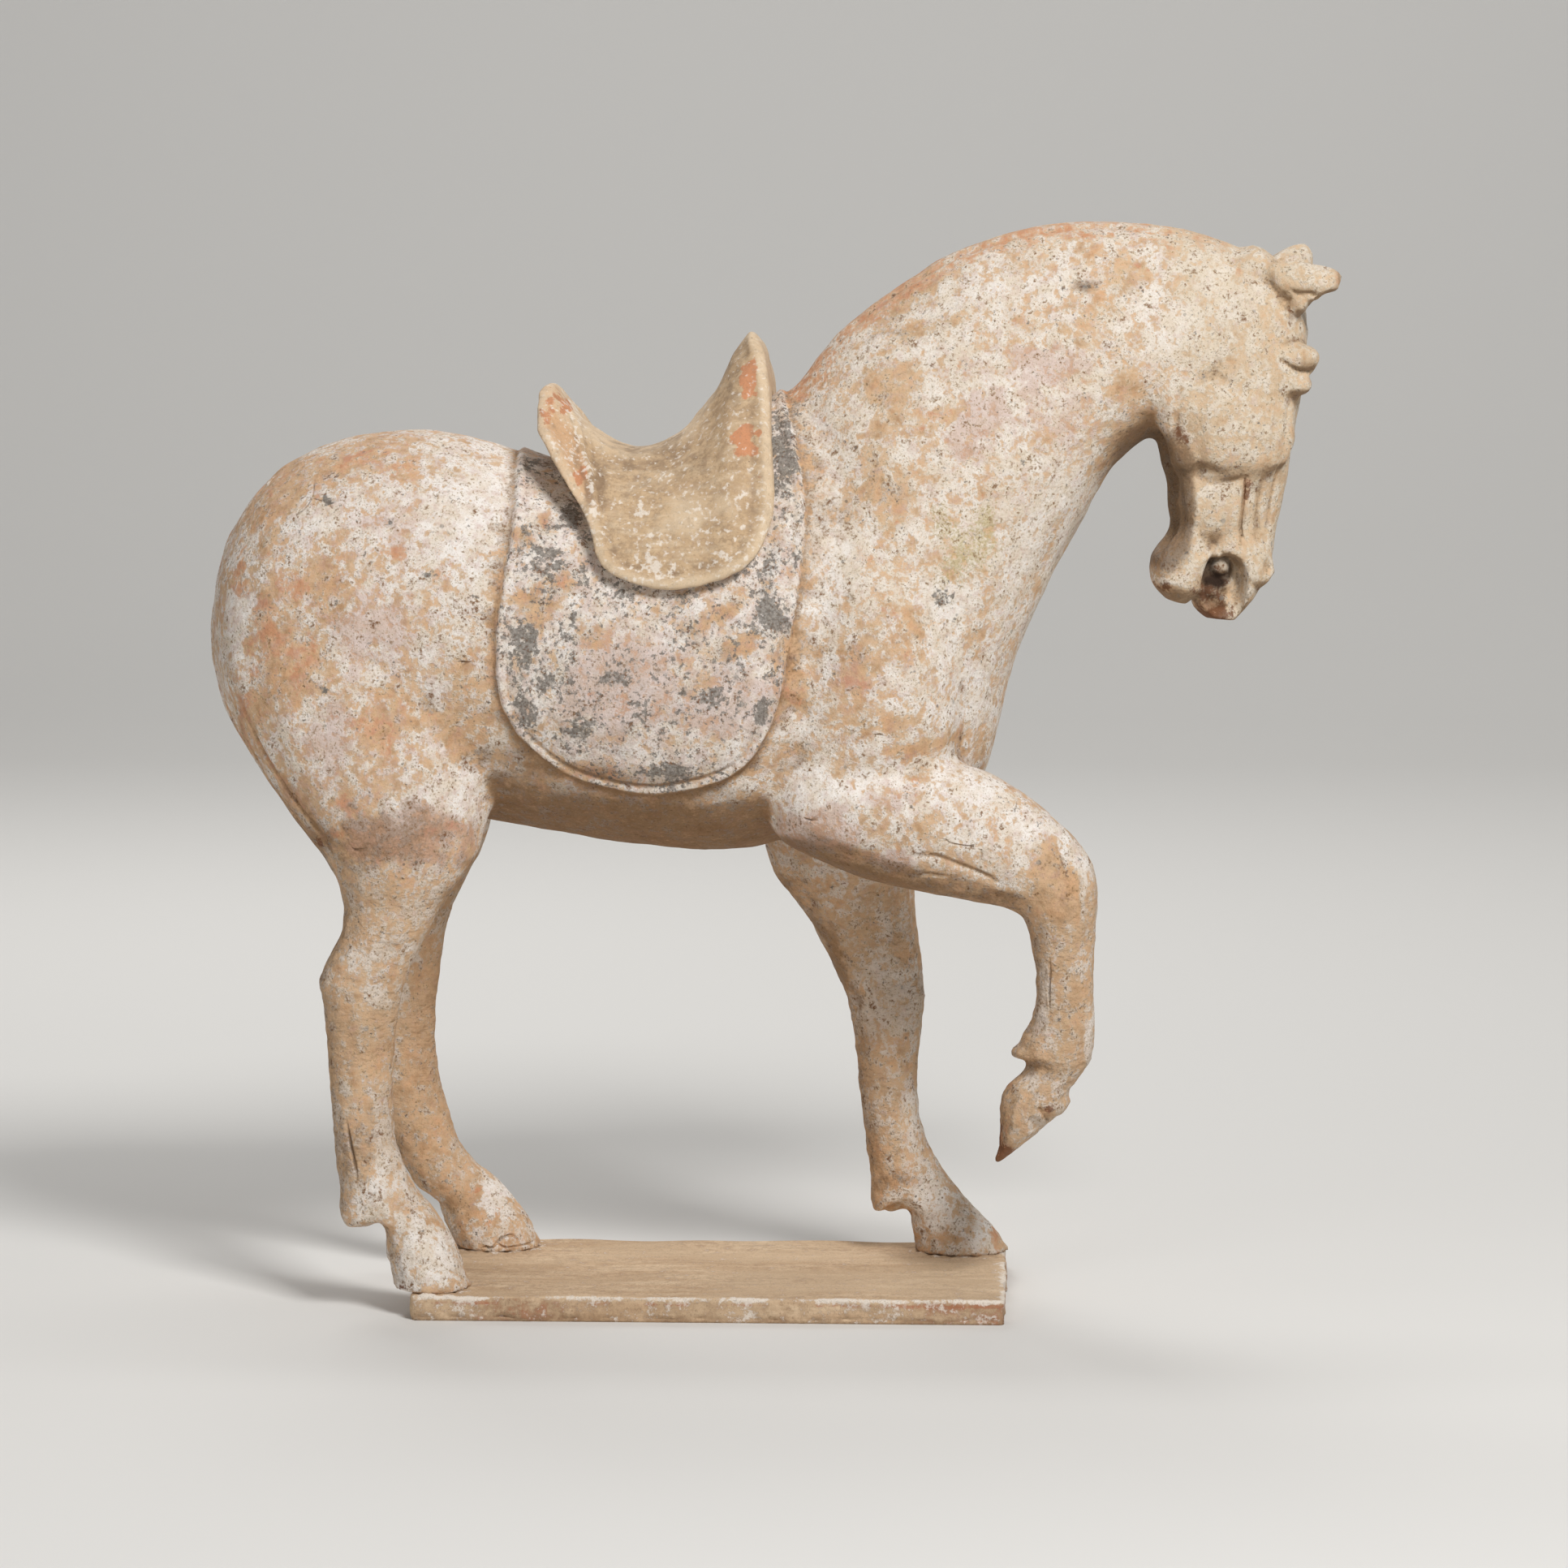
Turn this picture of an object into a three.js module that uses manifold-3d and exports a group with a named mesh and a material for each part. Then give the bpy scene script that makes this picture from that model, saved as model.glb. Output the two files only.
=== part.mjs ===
import * as THREE from 'three';
import { mergeVertices } from 'three/addons/utils/BufferGeometryUtils.js';
import Module from 'manifold-3d';

// A grave-goods horse of slipped earthenware that paws the air with its right foreleg. It wears a
// saddle over a saddle cloth and stands on a thin slab. Millimetres, +X the way it faces, +Z up,
// its right side towards -Y. The origin is the middle of the slab's underside.

const wasm = await Module();
wasm.setup();

// Driving dimensions, in millimetres
const HORSE_HEIGHT = 439;
const SLAB_THICKNESS = 10.7;
const HEEL_OVERHANG = 8.8;
const TOE_OVERHANG = 1.6;
const SLAB_SIDE_MARGIN = 1;
const SLAB_CORNER_RADIUS = 3;
const CLOTH_THICKNESS = 2.4;
const SADDLE_LIFT = 0.3;
const FOOT_GAP = 0.3;

// The head is turned a little to the horse's left, about the upright line through its poll.
const HEAD_TURN = THREE.MathUtils.degToRad(16);
// Skull and jaw have flatter sides than an ellipse.
const HEAD_ROUNDNESS = 0.75;

// The figure is shaped in thousandths of its height, with z from the soles. A section is one row:
// x and z of its front or upper point, x and z of its back or lower point, half its breadth, its y,
// and how much narrower it is at the front or upper point than at the other (0 is an even oval).
const UNIT = HORSE_HEIGHT / 1000;
// Cuts seen from the side run from the middle to this far out, past the figure's widest point.
const BEYOND = HORSE_HEIGHT / 2;

// How finely each form is faceted: sides around a section, and steps from one section to the next
const FACETS = {
  trunk: { around: 24, along: 2 },
  neck: { around: 20, along: 2 },
  skull: { around: 20, along: 2 },
  jaw: { around: 14, along: 2 },
  shoulder: { around: 12, along: 2 },
  leg: { around: 12, along: 1.5 },
  ear: { around: 10, along: 2 },
  lock: { around: 8, along: 2 },
  saddle: { around: 30, along: 2 },
  boss: { around: 12, upright: 7 },
  pit: { around: 10, upright: 6 },
  outline: 3,
  corner: 4,
};
const MERGE_DISTANCE = 1e-5;

const TRUNK = [
  [-479, 636, -480, 596, 18, 0, 0],
  [-462, 704, -461, 536, 84, 0, 0],
  [-414, 768, -415, 482, 128, 0, 0],
  [-333, 801, -335, 450, 146, 0, 0],
  [-248, 802, -250, 438, 148, 0, 0],
  [-184, 782, -186, 426, 147, 0, 0],
  [-116, 764, -118, 415, 153, 0, 0.05],
  [-47, 770, -48, 406, 155, 0, 0.1],
  [15, 803, 14, 404, 150, 0, 0.15],
  [76, 845, 73, 416, 138, 0, 0.2],
  [150, 850, 140, 440, 122, 0, 0.2],
  [212, 760, 204, 490, 86, 0, 0],
  [232, 660, 230, 590, 26, 0, 0],
];

const NECK = [
  [118, 470, 228, 446, 40, 1, 0],
  [66, 545, 259, 483, 100, 1, 0],
  [49, 672, 281, 576, 128, 1, 0],
  [80, 852, 317, 661, 116, 1, 0.1],
  [164, 933, 349, 719, 98, 1, 0.25],
  [243, 979, 376, 770, 84, 1, 0.3],
  [344, 998, 412, 797, 75, 1, 0.3],
  [435, 992, 444, 815, 68, 1, 0.2],
  [490, 977, 478, 845, 58, 1, 0.1],
  [524, 958, 508, 880, 44, 1, 0],
];

const MANE = [
  [78, 844, 99, 830, 9, 2, 0],
  [126, 904, 139, 887, 13, 2, 0],
  [186, 950, 195, 929, 15, 2, 0],
  [242, 979, 248, 957, 16, 2, 0],
  [313, 998, 316, 975, 16, 2, 0],
  [382, 1000, 380, 977, 16, 2, 0],
  [440, 993, 436, 970, 15, 2, 0],
  [478, 981, 473, 962, 10, 2, 0],
];

const TAIL = [
  [-414, 726, -434, 738, 14, -3, 0],
  [-438, 690, -463, 698, 22, -3, 0],
  [-454, 636, -481, 640, 26, -3, 0],
  [-452, 588, -481, 586, 28, -3, 0],
  [-438, 536, -465, 528, 27, -3, 0],
  [-404, 486, -430, 470, 22, -3, 0],
  [-374, 462, -398, 440, 12, -3, 0],
];

const SHOULDER = [
  [156, 764, 112, 760, 20, 74, 0],
  [214, 662, 87, 658, 56, 86, 0],
  [236, 571, 66, 567, 67, 82, 0],
  [230, 505, 56, 499, 62, 78, 0],
  [203, 458, 64, 450, 44, 70, 0],
];

const RIGHT_HIND_LEG = [
  [-262, 735, -398, 735, 36, -66, 0],
  [-210, 606, -466, 605, 80, -69, 0],
  [-204, 523, -448, 522, 80, -71, 0],
  [-205, 458, -408, 457, 73, -77, 0],
  [-220, 405, -366, 404, 54, -87, 0],
  [-248, 368, -347, 368, 41, -94, 0],
  [-266, 333, -347, 331, 35, -98, 0.2],
  [-282, 301, -369, 295, 33, -100, 0.3],
  [-293, 260, -364, 262, 29, -100, 0.1],
  [-299, 195, -360, 194, 27, -100, 0],
  [-294, 125, -355, 125, 30, -102, 0],
  [-275, 90, -349, 80, 33, -105, 0],
  [-262, 76, -341, 62, 33, -105, 0],
  [-249, 57, -314, 48, 31, -105, 0],
  [-237, 34, -304, 26, 36, -107, 0],
  [-226, 0, -299, 0, 39, -107, 0],
];

const LEFT_HIND_LEG = [
  [-264, 728, -402, 728, 36, 66, 0],
  [-213, 597, -470, 596, 80, 69, 0],
  [-214, 510, -456, 509, 80, 71, 0],
  [-217, 442, -411, 442, 73, 77, 0],
  [-234, 390, -366, 389, 54, 87, 0],
  [-257, 349, -346, 348, 41, 95, 0],
  [-269, 312, -347, 309, 35, 100, 0.2],
  [-275, 276, -363, 274, 33, 104, 0.3],
  [-281, 232, -352, 234, 29, 106, 0.1],
  [-277, 163, -342, 166, 27, 107, 0],
  [-254, 93, -322, 98, 30, 108, 0],
  [-228, 72, -309, 68, 33, 109, 0],
  [-214, 58, -301, 56, 33, 109, 0],
  [-201, 43, -280, 44, 31, 109, 0],
  [-189, 25, -275, 22, 36, 109, 0],
  [-179, 0, -261, 0, 39, 109, 0],
];

const STANDING_FORELEG = [
  [207, 473, 39, 441, 58, 64, 0],
  [191, 401, 44, 385, 59, 73, 0],
  [188, 353, 69, 350, 50, 82, 0],
  [192, 312, 95, 310, 42, 91, 0],
  [199, 252, 122, 251, 38, 98, 0],
  [194, 207, 129, 207, 32, 100, 0],
  [191, 163, 133, 163, 29, 100, 0],
  [196, 119, 139, 121, 29, 100, 0],
  [215, 81, 145, 66, 33, 103, 0],
  [231, 60, 155, 38, 33, 105, 0],
  [250, 40, 181, 31, 31, 105, 0],
  [268, 22, 187, 16, 35, 105, 0],
  [281, 0, 190, 0, 39, 105, 0],
];

const RAISED_FORELEG = [
  [152, 548, 60, 498, 52, -68, 0],
  [184, 502, 50, 436, 64, -78, 0],
  [232, 499, 102, 400, 60, -84, 0],
  [281, 478, 172, 378, 51, -89, 0],
  [323, 447, 240, 366, 43, -91, 0],
  [354, 410, 285, 357, 39, -91, 0],
  [364, 374, 295, 344, 36, -91, 0],
  [361, 337, 299, 327, 32, -91, 0],
  [359, 295, 305, 295, 29, -91, 0],
  [361, 257, 302, 257, 29, -91, 0],
  [361, 232, 289, 233, 31, -91, 0],
  [358, 218, 287, 223, 32, -91, 0],
  [350, 205, 298, 211, 26, -91, 0],
  [338, 189, 280, 195, 30, -91, 0],
  [333, 171, 271, 180, 34, -91, 0],
  [318, 157, 271, 162, 34, -91, 0],
  [296, 139, 271, 143, 26, -91, 0],
  [277, 124, 271, 126, 9, -91, 0],
];

const LEGS = [RIGHT_HIND_LEG, LEFT_HIND_LEG, STANDING_FORELEG, RAISED_FORELEG];

const SKULL = [
  [504, 979, 450, 916, 38, 0, 0],
  [536, 957, 444, 872, 52, 0, 0],
  [552, 908, 445, 838, 58, 0, 0.05],
  [552, 862, 444, 806, 58, 0, 0.1],
  [547, 826, 450, 780, 56, 0, 0.15],
  [541, 788, 462, 762, 47, 0, 0.2],
  [535, 742, 460, 742, 38, 0, 0.2],
  [526, 703, 458, 706, 37, 0, 0.1],
  [520, 676, 454, 670, 39, 0, 0],
  [505, 647, 450, 640, 34, 0, 0],
  [488, 625, 464, 626, 17, 0, 0],
];

const JAW = [
  [492, 812, 410, 812, 34, 1, 0],
  [480, 762, 420, 760, 34, 1, 0],
  [466, 706, 427, 712, 31, 1, 0],
  [459, 672, 409, 684, 33, 1, 0],
  [452, 652, 410, 662, 30, 1, 0],
  [440, 641, 424, 645, 14, 1, 0],
];

const RIGHT_EAR = [
  [500, 958, 522, 922, 16, -40, 0],
  [527, 963, 545, 916, 22, -46, 0],
  [551, 960, 560, 917, 21, -50, 0],
  [567, 956, 568, 930, 14, -52, 0],
  [574, 950, 573, 941, 6, -52, 0],
];

// The left ear was set on a little higher than the right one, and its tip is squarer.
const LEFT_EAR = [
  [500, 950, 528, 920, 16, 40, 0],
  [530, 962, 548, 925, 21, 45, 0],
  [553, 974, 562, 934, 21, 49, 0],
  [572, 980, 576, 945, 15, 51, 0],
  [580, 974, 581, 954, 8, 51, 0],
];

const FORELOCK = [
  [536, 960, 520, 930, 12, 3, 0],
  [557, 930, 540, 912, 16, 3, 0],
  [561, 898, 546, 890, 13, 3, 0],
  [557, 872, 548, 870, 7, 3, 0],
];

// Rounded forms on both sides of the head: centre x, z and y, then half their length, height and breadth
const CHEEK = { centre: [485, 810, 38], size: [53, 53, 24], roundness: 0.86 };
const BROW = { centre: [527, 868, 42], size: [27, 16, 22], roundness: 0.9 };
const EYEBALL = { centre: [523, 849, 42], size: [24, 14, 20], roundness: 1 };
const NOSTRIL_RIM = { centre: [497, 677, 25], size: [24, 22, 17], roundness: 1 };
const NOSTRIL = { centre: [513, 676, 39], size: [8, 11, 9], roundness: 1 };

// The open mouth is an arch cut up into both sides of the muzzle, as far in as the tongue.
const MOUTH = { x: 470, z: 664, halfLength: 21, height: 26, tongueHalfBreadth: 16 };
// The hollow between the two sides of the lower jaw
const JAW_HOLLOW = { centre: [410, 748, 0], size: [28, 62, 20], roundness: 0.9 };

// The cloth's edge, seen from the side: down the back edge, round the bottom and up the front edge
const CLOTH_TOP = 920;
const CLOTH_EDGE = [
  [-187, 790],
  [-183, 720],
  [-196, 613],
  [-186, 541],
  [-137, 490],
  [-56, 469],
  [22, 487],
  [59, 535],
  [79, 628],
  [89, 739],
  [64, 850],
];

// The saddle's edge, seen from the side: over cantle, seat and pommel, then round under the flap
const SADDLE_TOP_EDGE = [
  [-164, 840],
  [-152, 846],
  [-124, 811],
  [-78, 787],
  [-30, 803],
  [-7, 840],
  [10, 882],
  [30, 898],
  [47, 880],
  [54, 841],
];
const SADDLE_FLAP_EDGE = [
  [58, 780],
  [59, 724],
  [34, 680],
  [-34, 660],
  [-94, 679],
  [-112, 724],
  [-134, 760],
  [-161, 804],
];

// Saddle sections across the back, as they would be with no cloth under the saddle
const SADDLE = [
  [-184, 846, -178, 398, 157, 0, 0.1],
  [-150, 846, -148, 398, 159, 0, 0.1],
  [-124, 811, -122, 396, 161, 0, 0],
  [-78, 786, -78, 398, 161, 0, 0],
  [-30, 802, -30, 394, 160, 0, 0.05],
  [2, 839, 2, 390, 158, 0, 0.15],
  [34, 893, 34, 386, 154, 0, 0.3],
  [72, 880, 72, 386, 146, 0, 0.3],
];

const SLIP_CREAM = new THREE.MeshStandardMaterial({ color: 0xd9c3a3, roughness: 0.95, metalness: 0 });
const SADDLE_OCHRE = new THREE.MeshStandardMaterial({ color: 0xc7a678, roughness: 0.95, metalness: 0 });
const SLAB_CLAY = new THREE.MeshStandardMaterial({ color: 0xc0a17c, roughness: 0.95, metalness: 0 });

// Turns a closed three.js geometry into a solid that can be joined and cut.
function toSolid(geometry) {
  geometry.deleteAttribute('normal');
  geometry.deleteAttribute('uv');
  const merged = mergeVertices(geometry, MERGE_DISTANCE);
  return new wasm.Manifold(new wasm.Mesh({
    numProp: 3,
    vertProperties: new Float32Array(merged.attributes.position.array),
    triVerts: new Uint32Array(merged.index.array),
  }));
}

// Turns a solid back into a named mesh.
function toMesh(solid, name, material) {
  const { vertProperties, triVerts } = solid.getMesh();
  const geometry = new THREE.BufferGeometry();
  geometry.setAttribute('position', new THREE.BufferAttribute(vertProperties, 3));
  geometry.setIndex(new THREE.BufferAttribute(triVerts, 1));
  geometry.computeVertexNormals();
  const mesh = new THREE.Mesh(geometry, material);
  mesh.name = name;
  return mesh;
}

function powerOf(value, exponent) {
  return Math.sign(value) * Math.abs(value) ** exponent;
}

function unite(solids) {
  return solids.reduce((whole, solid) => whole.add(solid));
}

// Lofts one closed body through sections. swell grows it outwards by that many millimetres, and
// roundness shapes its ovals: 1 is an ellipse, and less has flatter sides and rounder corners.
// The taper is carried as a length, so that the curves keep their form at any height.
function loft(sections, { around, along }, { swell = 0, roundness = 1 } = {}) {
  const points = sections.map(([frontX, frontZ, backX, backZ, breadth, y, taper]) => {
    const front = new THREE.Vector3(frontX, y, frontZ).multiplyScalar(UNIT);
    const back = new THREE.Vector3(backX, y, backZ).multiplyScalar(UNIT);
    const outwards = front.clone().sub(back).setLength(swell);
    return {
      front: front.add(outwards),
      back: back.sub(outwards),
      width: new THREE.Vector3(breadth * UNIT + swell, taper * HORSE_HEIGHT, 0),
    };
  });
  const [frontLine, backLine, widthLine] = ['front', 'back', 'width'].map(
    (key) => new THREE.CatmullRomCurve3(points.map((point) => point[key])),
  );
  const steps = Math.round((sections.length - 1) * along);
  const geometry = new THREE.CylinderGeometry(1, 1, 1, around, steps);
  const position = geometry.attributes.position;
  for (let i = 0; i < position.count; i += 1) {
    const t = THREE.MathUtils.clamp(position.getY(i) + 0.5, 0, 1);
    const front = frontLine.getPoint(t);
    const back = backLine.getPoint(t);
    const { x: breadth, y: taper } = widthLine.getPoint(t);
    const centre = front.clone().add(back).multiplyScalar(0.5);
    const forwards = powerOf(position.getX(i), roundness);
    const narrowing = 1 - (forwards * taper) / HORSE_HEIGHT;
    const sideways = powerOf(position.getZ(i), roundness) * breadth * narrowing;
    const point = centre.addScaledVector(front.sub(back), forwards / 2);
    position.setXYZ(i, point.x, point.y + sideways, point.z);
  }
  return toSolid(geometry);
}

// Mirrors sections to the other side of the horse.
function mirrored(sections) {
  return sections.map((section) => section.with(5, -section[5]));
}

// An oval boss on one side of the figure: side is -1 for the horse's right and 1 for its left.
function boss(form, side, { around, upright } = FACETS.boss) {
  const { centre: [x, z, y], size: [length, height, breadth], roundness } = form;
  const geometry = new THREE.SphereGeometry(1, around, upright);
  geometry.rotateX(Math.PI / 2);
  const position = geometry.attributes.position;
  for (let i = 0; i < position.count; i += 1) {
    position.setXYZ(
      i,
      x * UNIT + powerOf(position.getX(i), roundness) * length * UNIT,
      side * y * UNIT + powerOf(position.getY(i), roundness) * breadth * UNIT,
      z * UNIT + powerOf(position.getZ(i), roundness) * height * UNIT,
    );
  }
  return toSolid(geometry);
}

// A slab of the figure, cut to an outline that is seen from the side, between two y values.
function sideCut(shape, fromY, toY) {
  const geometry = new THREE.ExtrudeGeometry(shape, {
    depth: toY - fromY,
    bevelEnabled: false,
    curveSegments: FACETS.outline,
  });
  geometry.rotateX(Math.PI / 2);
  geometry.translate(0, toY, 0);
  return toSolid(geometry);
}

function scaledPoints(rows) {
  return rows.map(([x, z]) => new THREE.Vector2(x * UNIT, z * UNIT));
}

// A closed outline from open runs of points, each run a smooth curve and each corner between runs sharp.
function outlineOf(...runs) {
  const shape = new THREE.Shape();
  shape.moveTo(runs[0][0].x, runs[0][0].y);
  for (const [first, ...rest] of runs) {
    shape.lineTo(first.x, first.y);
    shape.splineThru(rest);
  }
  shape.closePath();
  return shape;
}

function buildHead() {
  const turn = (solid) => {
    const poll = NECK[NECK.length - 1];
    const pivot = ((poll[0] + poll[2]) / 2) * UNIT;
    return solid
      .translate([-pivot, 0, 0])
      .rotate([0, 0, THREE.MathUtils.radToDeg(HEAD_TURN)])
      .translate([pivot, 0, 0]);
  };
  const sides = [-1, 1];
  const forms = [
    loft(SKULL, FACETS.skull, { roundness: HEAD_ROUNDNESS }),
    loft(JAW, FACETS.jaw, { roundness: HEAD_ROUNDNESS }),
    loft(FORELOCK, FACETS.lock),
    loft(RIGHT_EAR, FACETS.ear),
    loft(LEFT_EAR, FACETS.ear),
    ...sides.flatMap((side) => [CHEEK, BROW, EYEBALL, NOSTRIL_RIM].map((form) => boss(form, side))),
  ];
  const [mouthX, mouthZ, halfLength] = [MOUTH.x, MOUTH.z, MOUTH.halfLength].map((share) => share * UNIT);
  const mouth = new THREE.Shape();
  mouth.absellipse(mouthX, mouthZ, halfLength, MOUTH.height * UNIT, 0, Math.PI);
  mouth.lineTo(mouthX - halfLength, 0);
  mouth.lineTo(mouthX + halfLength, 0);
  mouth.closePath();
  const inner = MOUTH.tongueHalfBreadth * UNIT;
  const hollows = [
    sideCut(mouth, -BEYOND, -inner),
    sideCut(mouth, inner, BEYOND),
    boss(JAW_HOLLOW, 1),
    ...sides.map((side) => boss(NOSTRIL, side, FACETS.pit)),
  ];
  return turn(unite(forms).subtract(unite(hollows)));
}

// The trunk and neck, grown outwards by swell
function buildBarrel(swell) {
  return unite([loft(TRUNK, FACETS.trunk, { swell }), loft(NECK, FACETS.neck, { swell })]);
}

function buildCloth() {
  const top = scaledPoints([[CLOTH_EDGE.at(-1)[0], CLOTH_TOP], [CLOTH_EDGE[0][0], CLOTH_TOP]]);
  const outline = outlineOf(scaledPoints(CLOTH_EDGE), top);
  return buildBarrel(CLOTH_THICKNESS).intersect(sideCut(outline, -BEYOND, BEYOND));
}

function buildHorse() {
  return unite([
    buildBarrel(0),
    buildHead(),
    buildCloth(),
    loft(MANE, FACETS.lock),
    loft(TAIL, FACETS.lock),
    loft(SHOULDER, FACETS.shoulder),
    loft(mirrored(SHOULDER), FACETS.shoulder),
    ...LEGS.map((leg) => loft(leg, FACETS.leg)),
  ]);
}

// The saddle follows the cloth: both its own form and the hollow under it grow with the cloth.
function buildSaddle() {
  const lift = CLOTH_THICKNESS + SADDLE_LIFT;
  const outline = outlineOf(scaledPoints(SADDLE_TOP_EDGE), scaledPoints(SADDLE_FLAP_EDGE));
  return loft(SADDLE, FACETS.saddle, { swell: lift })
    .intersect(sideCut(outline, -BEYOND, BEYOND))
    .subtract(buildBarrel(lift));
}

function buildSlab(length, width) {
  const shape = new THREE.Shape();
  const r = SLAB_CORNER_RADIUS;
  shape.moveTo(-length / 2 + r, -width / 2);
  shape.absarc(length / 2 - r, -width / 2 + r, r, -Math.PI / 2, 0);
  shape.absarc(length / 2 - r, width / 2 - r, r, 0, Math.PI / 2);
  shape.absarc(-length / 2 + r, width / 2 - r, r, Math.PI / 2, Math.PI);
  shape.absarc(-length / 2 + r, -width / 2 + r, r, Math.PI, Math.PI * 1.5);
  return toSolid(new THREE.ExtrudeGeometry(shape, {
    depth: SLAB_THICKNESS,
    bevelEnabled: false,
    curveSegments: FACETS.corner,
  }));
}

const heelX = RIGHT_HIND_LEG.at(-1)[2] * UNIT;
const toeX = STANDING_FORELEG.at(-1)[0] * UNIT;
const [, , , , soleBreadth, soleY] = LEFT_HIND_LEG.at(-1);
const slabLength = toeX - heelX - HEEL_OVERHANG - TOE_OVERHANG;
const slabWidth = 2 * ((soleBreadth + soleY) * UNIT + SLAB_SIDE_MARGIN);

const tombHorse = new THREE.Group();
const figure = new THREE.Group();
figure.position.set(-(heelX + HEEL_OVERHANG + slabLength / 2), 0, SLAB_THICKNESS + FOOT_GAP);
figure.add(toMesh(buildHorse(), 'horse', SLIP_CREAM));
figure.add(toMesh(buildSaddle(), 'saddle', SADDLE_OCHRE));
tombHorse.add(figure);
tombHorse.add(toMesh(buildSlab(slabLength, slabWidth), 'base_slab', SLAB_CLAY));

export default tombHorse;
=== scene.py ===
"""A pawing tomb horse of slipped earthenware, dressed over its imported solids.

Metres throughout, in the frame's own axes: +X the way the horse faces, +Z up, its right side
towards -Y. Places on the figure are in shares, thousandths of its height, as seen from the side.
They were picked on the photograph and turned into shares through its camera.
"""

import sys
import logging
import math
from dataclasses import dataclass, field, replace
from enum import Enum
from functools import cached_property

import bmesh
import bpy
import numpy as np
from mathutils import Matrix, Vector


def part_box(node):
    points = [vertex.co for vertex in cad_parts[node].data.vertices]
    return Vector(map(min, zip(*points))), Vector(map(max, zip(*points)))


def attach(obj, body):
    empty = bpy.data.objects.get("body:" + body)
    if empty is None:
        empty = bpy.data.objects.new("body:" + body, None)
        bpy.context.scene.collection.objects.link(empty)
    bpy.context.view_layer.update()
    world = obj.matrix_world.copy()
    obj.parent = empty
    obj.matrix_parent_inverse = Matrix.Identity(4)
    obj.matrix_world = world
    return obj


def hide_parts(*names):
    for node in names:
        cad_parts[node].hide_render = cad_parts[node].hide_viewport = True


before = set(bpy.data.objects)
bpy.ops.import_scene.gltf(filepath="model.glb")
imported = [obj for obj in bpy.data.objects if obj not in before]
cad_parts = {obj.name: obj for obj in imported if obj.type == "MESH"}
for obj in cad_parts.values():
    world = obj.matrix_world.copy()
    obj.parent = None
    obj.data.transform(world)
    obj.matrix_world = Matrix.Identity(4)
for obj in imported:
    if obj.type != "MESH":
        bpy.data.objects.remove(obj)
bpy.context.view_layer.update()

log = logging.getLogger("tomb_horse")

MM = 0.001
# Keeps a division by a segment of no length finite.
TINY = 1e-9
Colour = tuple[float, float, float, float]
Socket = bpy.types.NodeSocket
Place = tuple[float, float, float]
Points = tuple[tuple[float, float], ...]
# A patch's centre x and z, half length and half height in shares, lean in degrees and amount.
Patch = tuple[float, float, float, float, float, float]


class Side(Enum):
    """The horse's own sides, as the sign of y."""

    RIGHT = -1
    LEFT = 1


class Space(Enum):
    """Which coordinates a place is read in: the figure's, or those of the head before its turn."""

    BODY = "body"
    HEAD = "head"


class Coat(Enum):
    """What lies on the clay, and painted shade, each painted on a skin's points as a zone."""

    SLIP = "slip"
    RUST = "rust"
    LILAC = "lilac"
    EARTH_AND_SHADE = "earth"
    SOOT = "soot"
    LICHEN = "lichen"
    CRUST = "crust"
    GAP_AND_SHADE = "gap_and_shade"
    FLAKE = "flake"
    CREAM = "cream"
    UMBER = "umber"


BOTH = (Side.RIGHT, Side.LEFT)


def linear(code: str) -> Colour:
    """Turn an sRGB hex code into a linear colour.

    Args:
        code: Six hex digits, such as "e6ddd1".

    Returns:
        Linear red, green, blue and an alpha of 1.
    """
    channels = [int(code[i : i + 2], 16) / 255 for i in (0, 2, 4)]
    return (*(c / 12.92 if c <= 0.04045 else ((c + 0.055) / 1.055) ** 2.4 for c in channels), 1.0)


def smoothstep(values: np.ndarray, low: float, high: float) -> np.ndarray:
    """Rise smoothly from 0 at low to 1 at high.

    Args:
        values: What is looked at.
        low: The value that gives 0.
        high: The value that gives 1; it may be the lesser of the two.

    Returns:
        Numbers from 0 to 1.
    """
    t = np.clip((values - low) / (high - low), 0.0, 1.0)
    return t * t * (3.0 - 2.0 * t)


def ridge(values: np.ndarray, centre: float, width: float) -> np.ndarray:
    """Give a bell that is 1 where the values are at the centre."""
    return np.exp(-(((values - centre) / width) ** 2))


def to_segment(start: np.ndarray, end: np.ndarray, places: np.ndarray) -> tuple[np.ndarray, np.ndarray]:
    """Give each place's distance to a segment, and where on it the nearest point is.

    Args:
        start: The segment's first end.
        end: Its other end.
        places: The places, one in each row.

    Returns:
        One distance for each place, and one share of the segment's length, from 0 to 1.
    """
    step, offset = end - start, places - start
    along = np.clip(offset @ step / max(step @ step, TINY), 0, 1)
    return np.linalg.norm(offset - along[:, None] * step, axis=1), along


def distance_to(line: np.ndarray, places: np.ndarray) -> np.ndarray:
    """Give each place's distance to an open line, both in the same unit.

    Args:
        line: The line's points, one in each row.
        places: The places, one in each row.

    Returns:
        One distance for each place.
    """
    nearest = np.full(len(places), np.inf)
    for start, end in zip(line, line[1:]):
        nearest = np.minimum(nearest, to_segment(start, end, places)[0])
    return nearest


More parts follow.
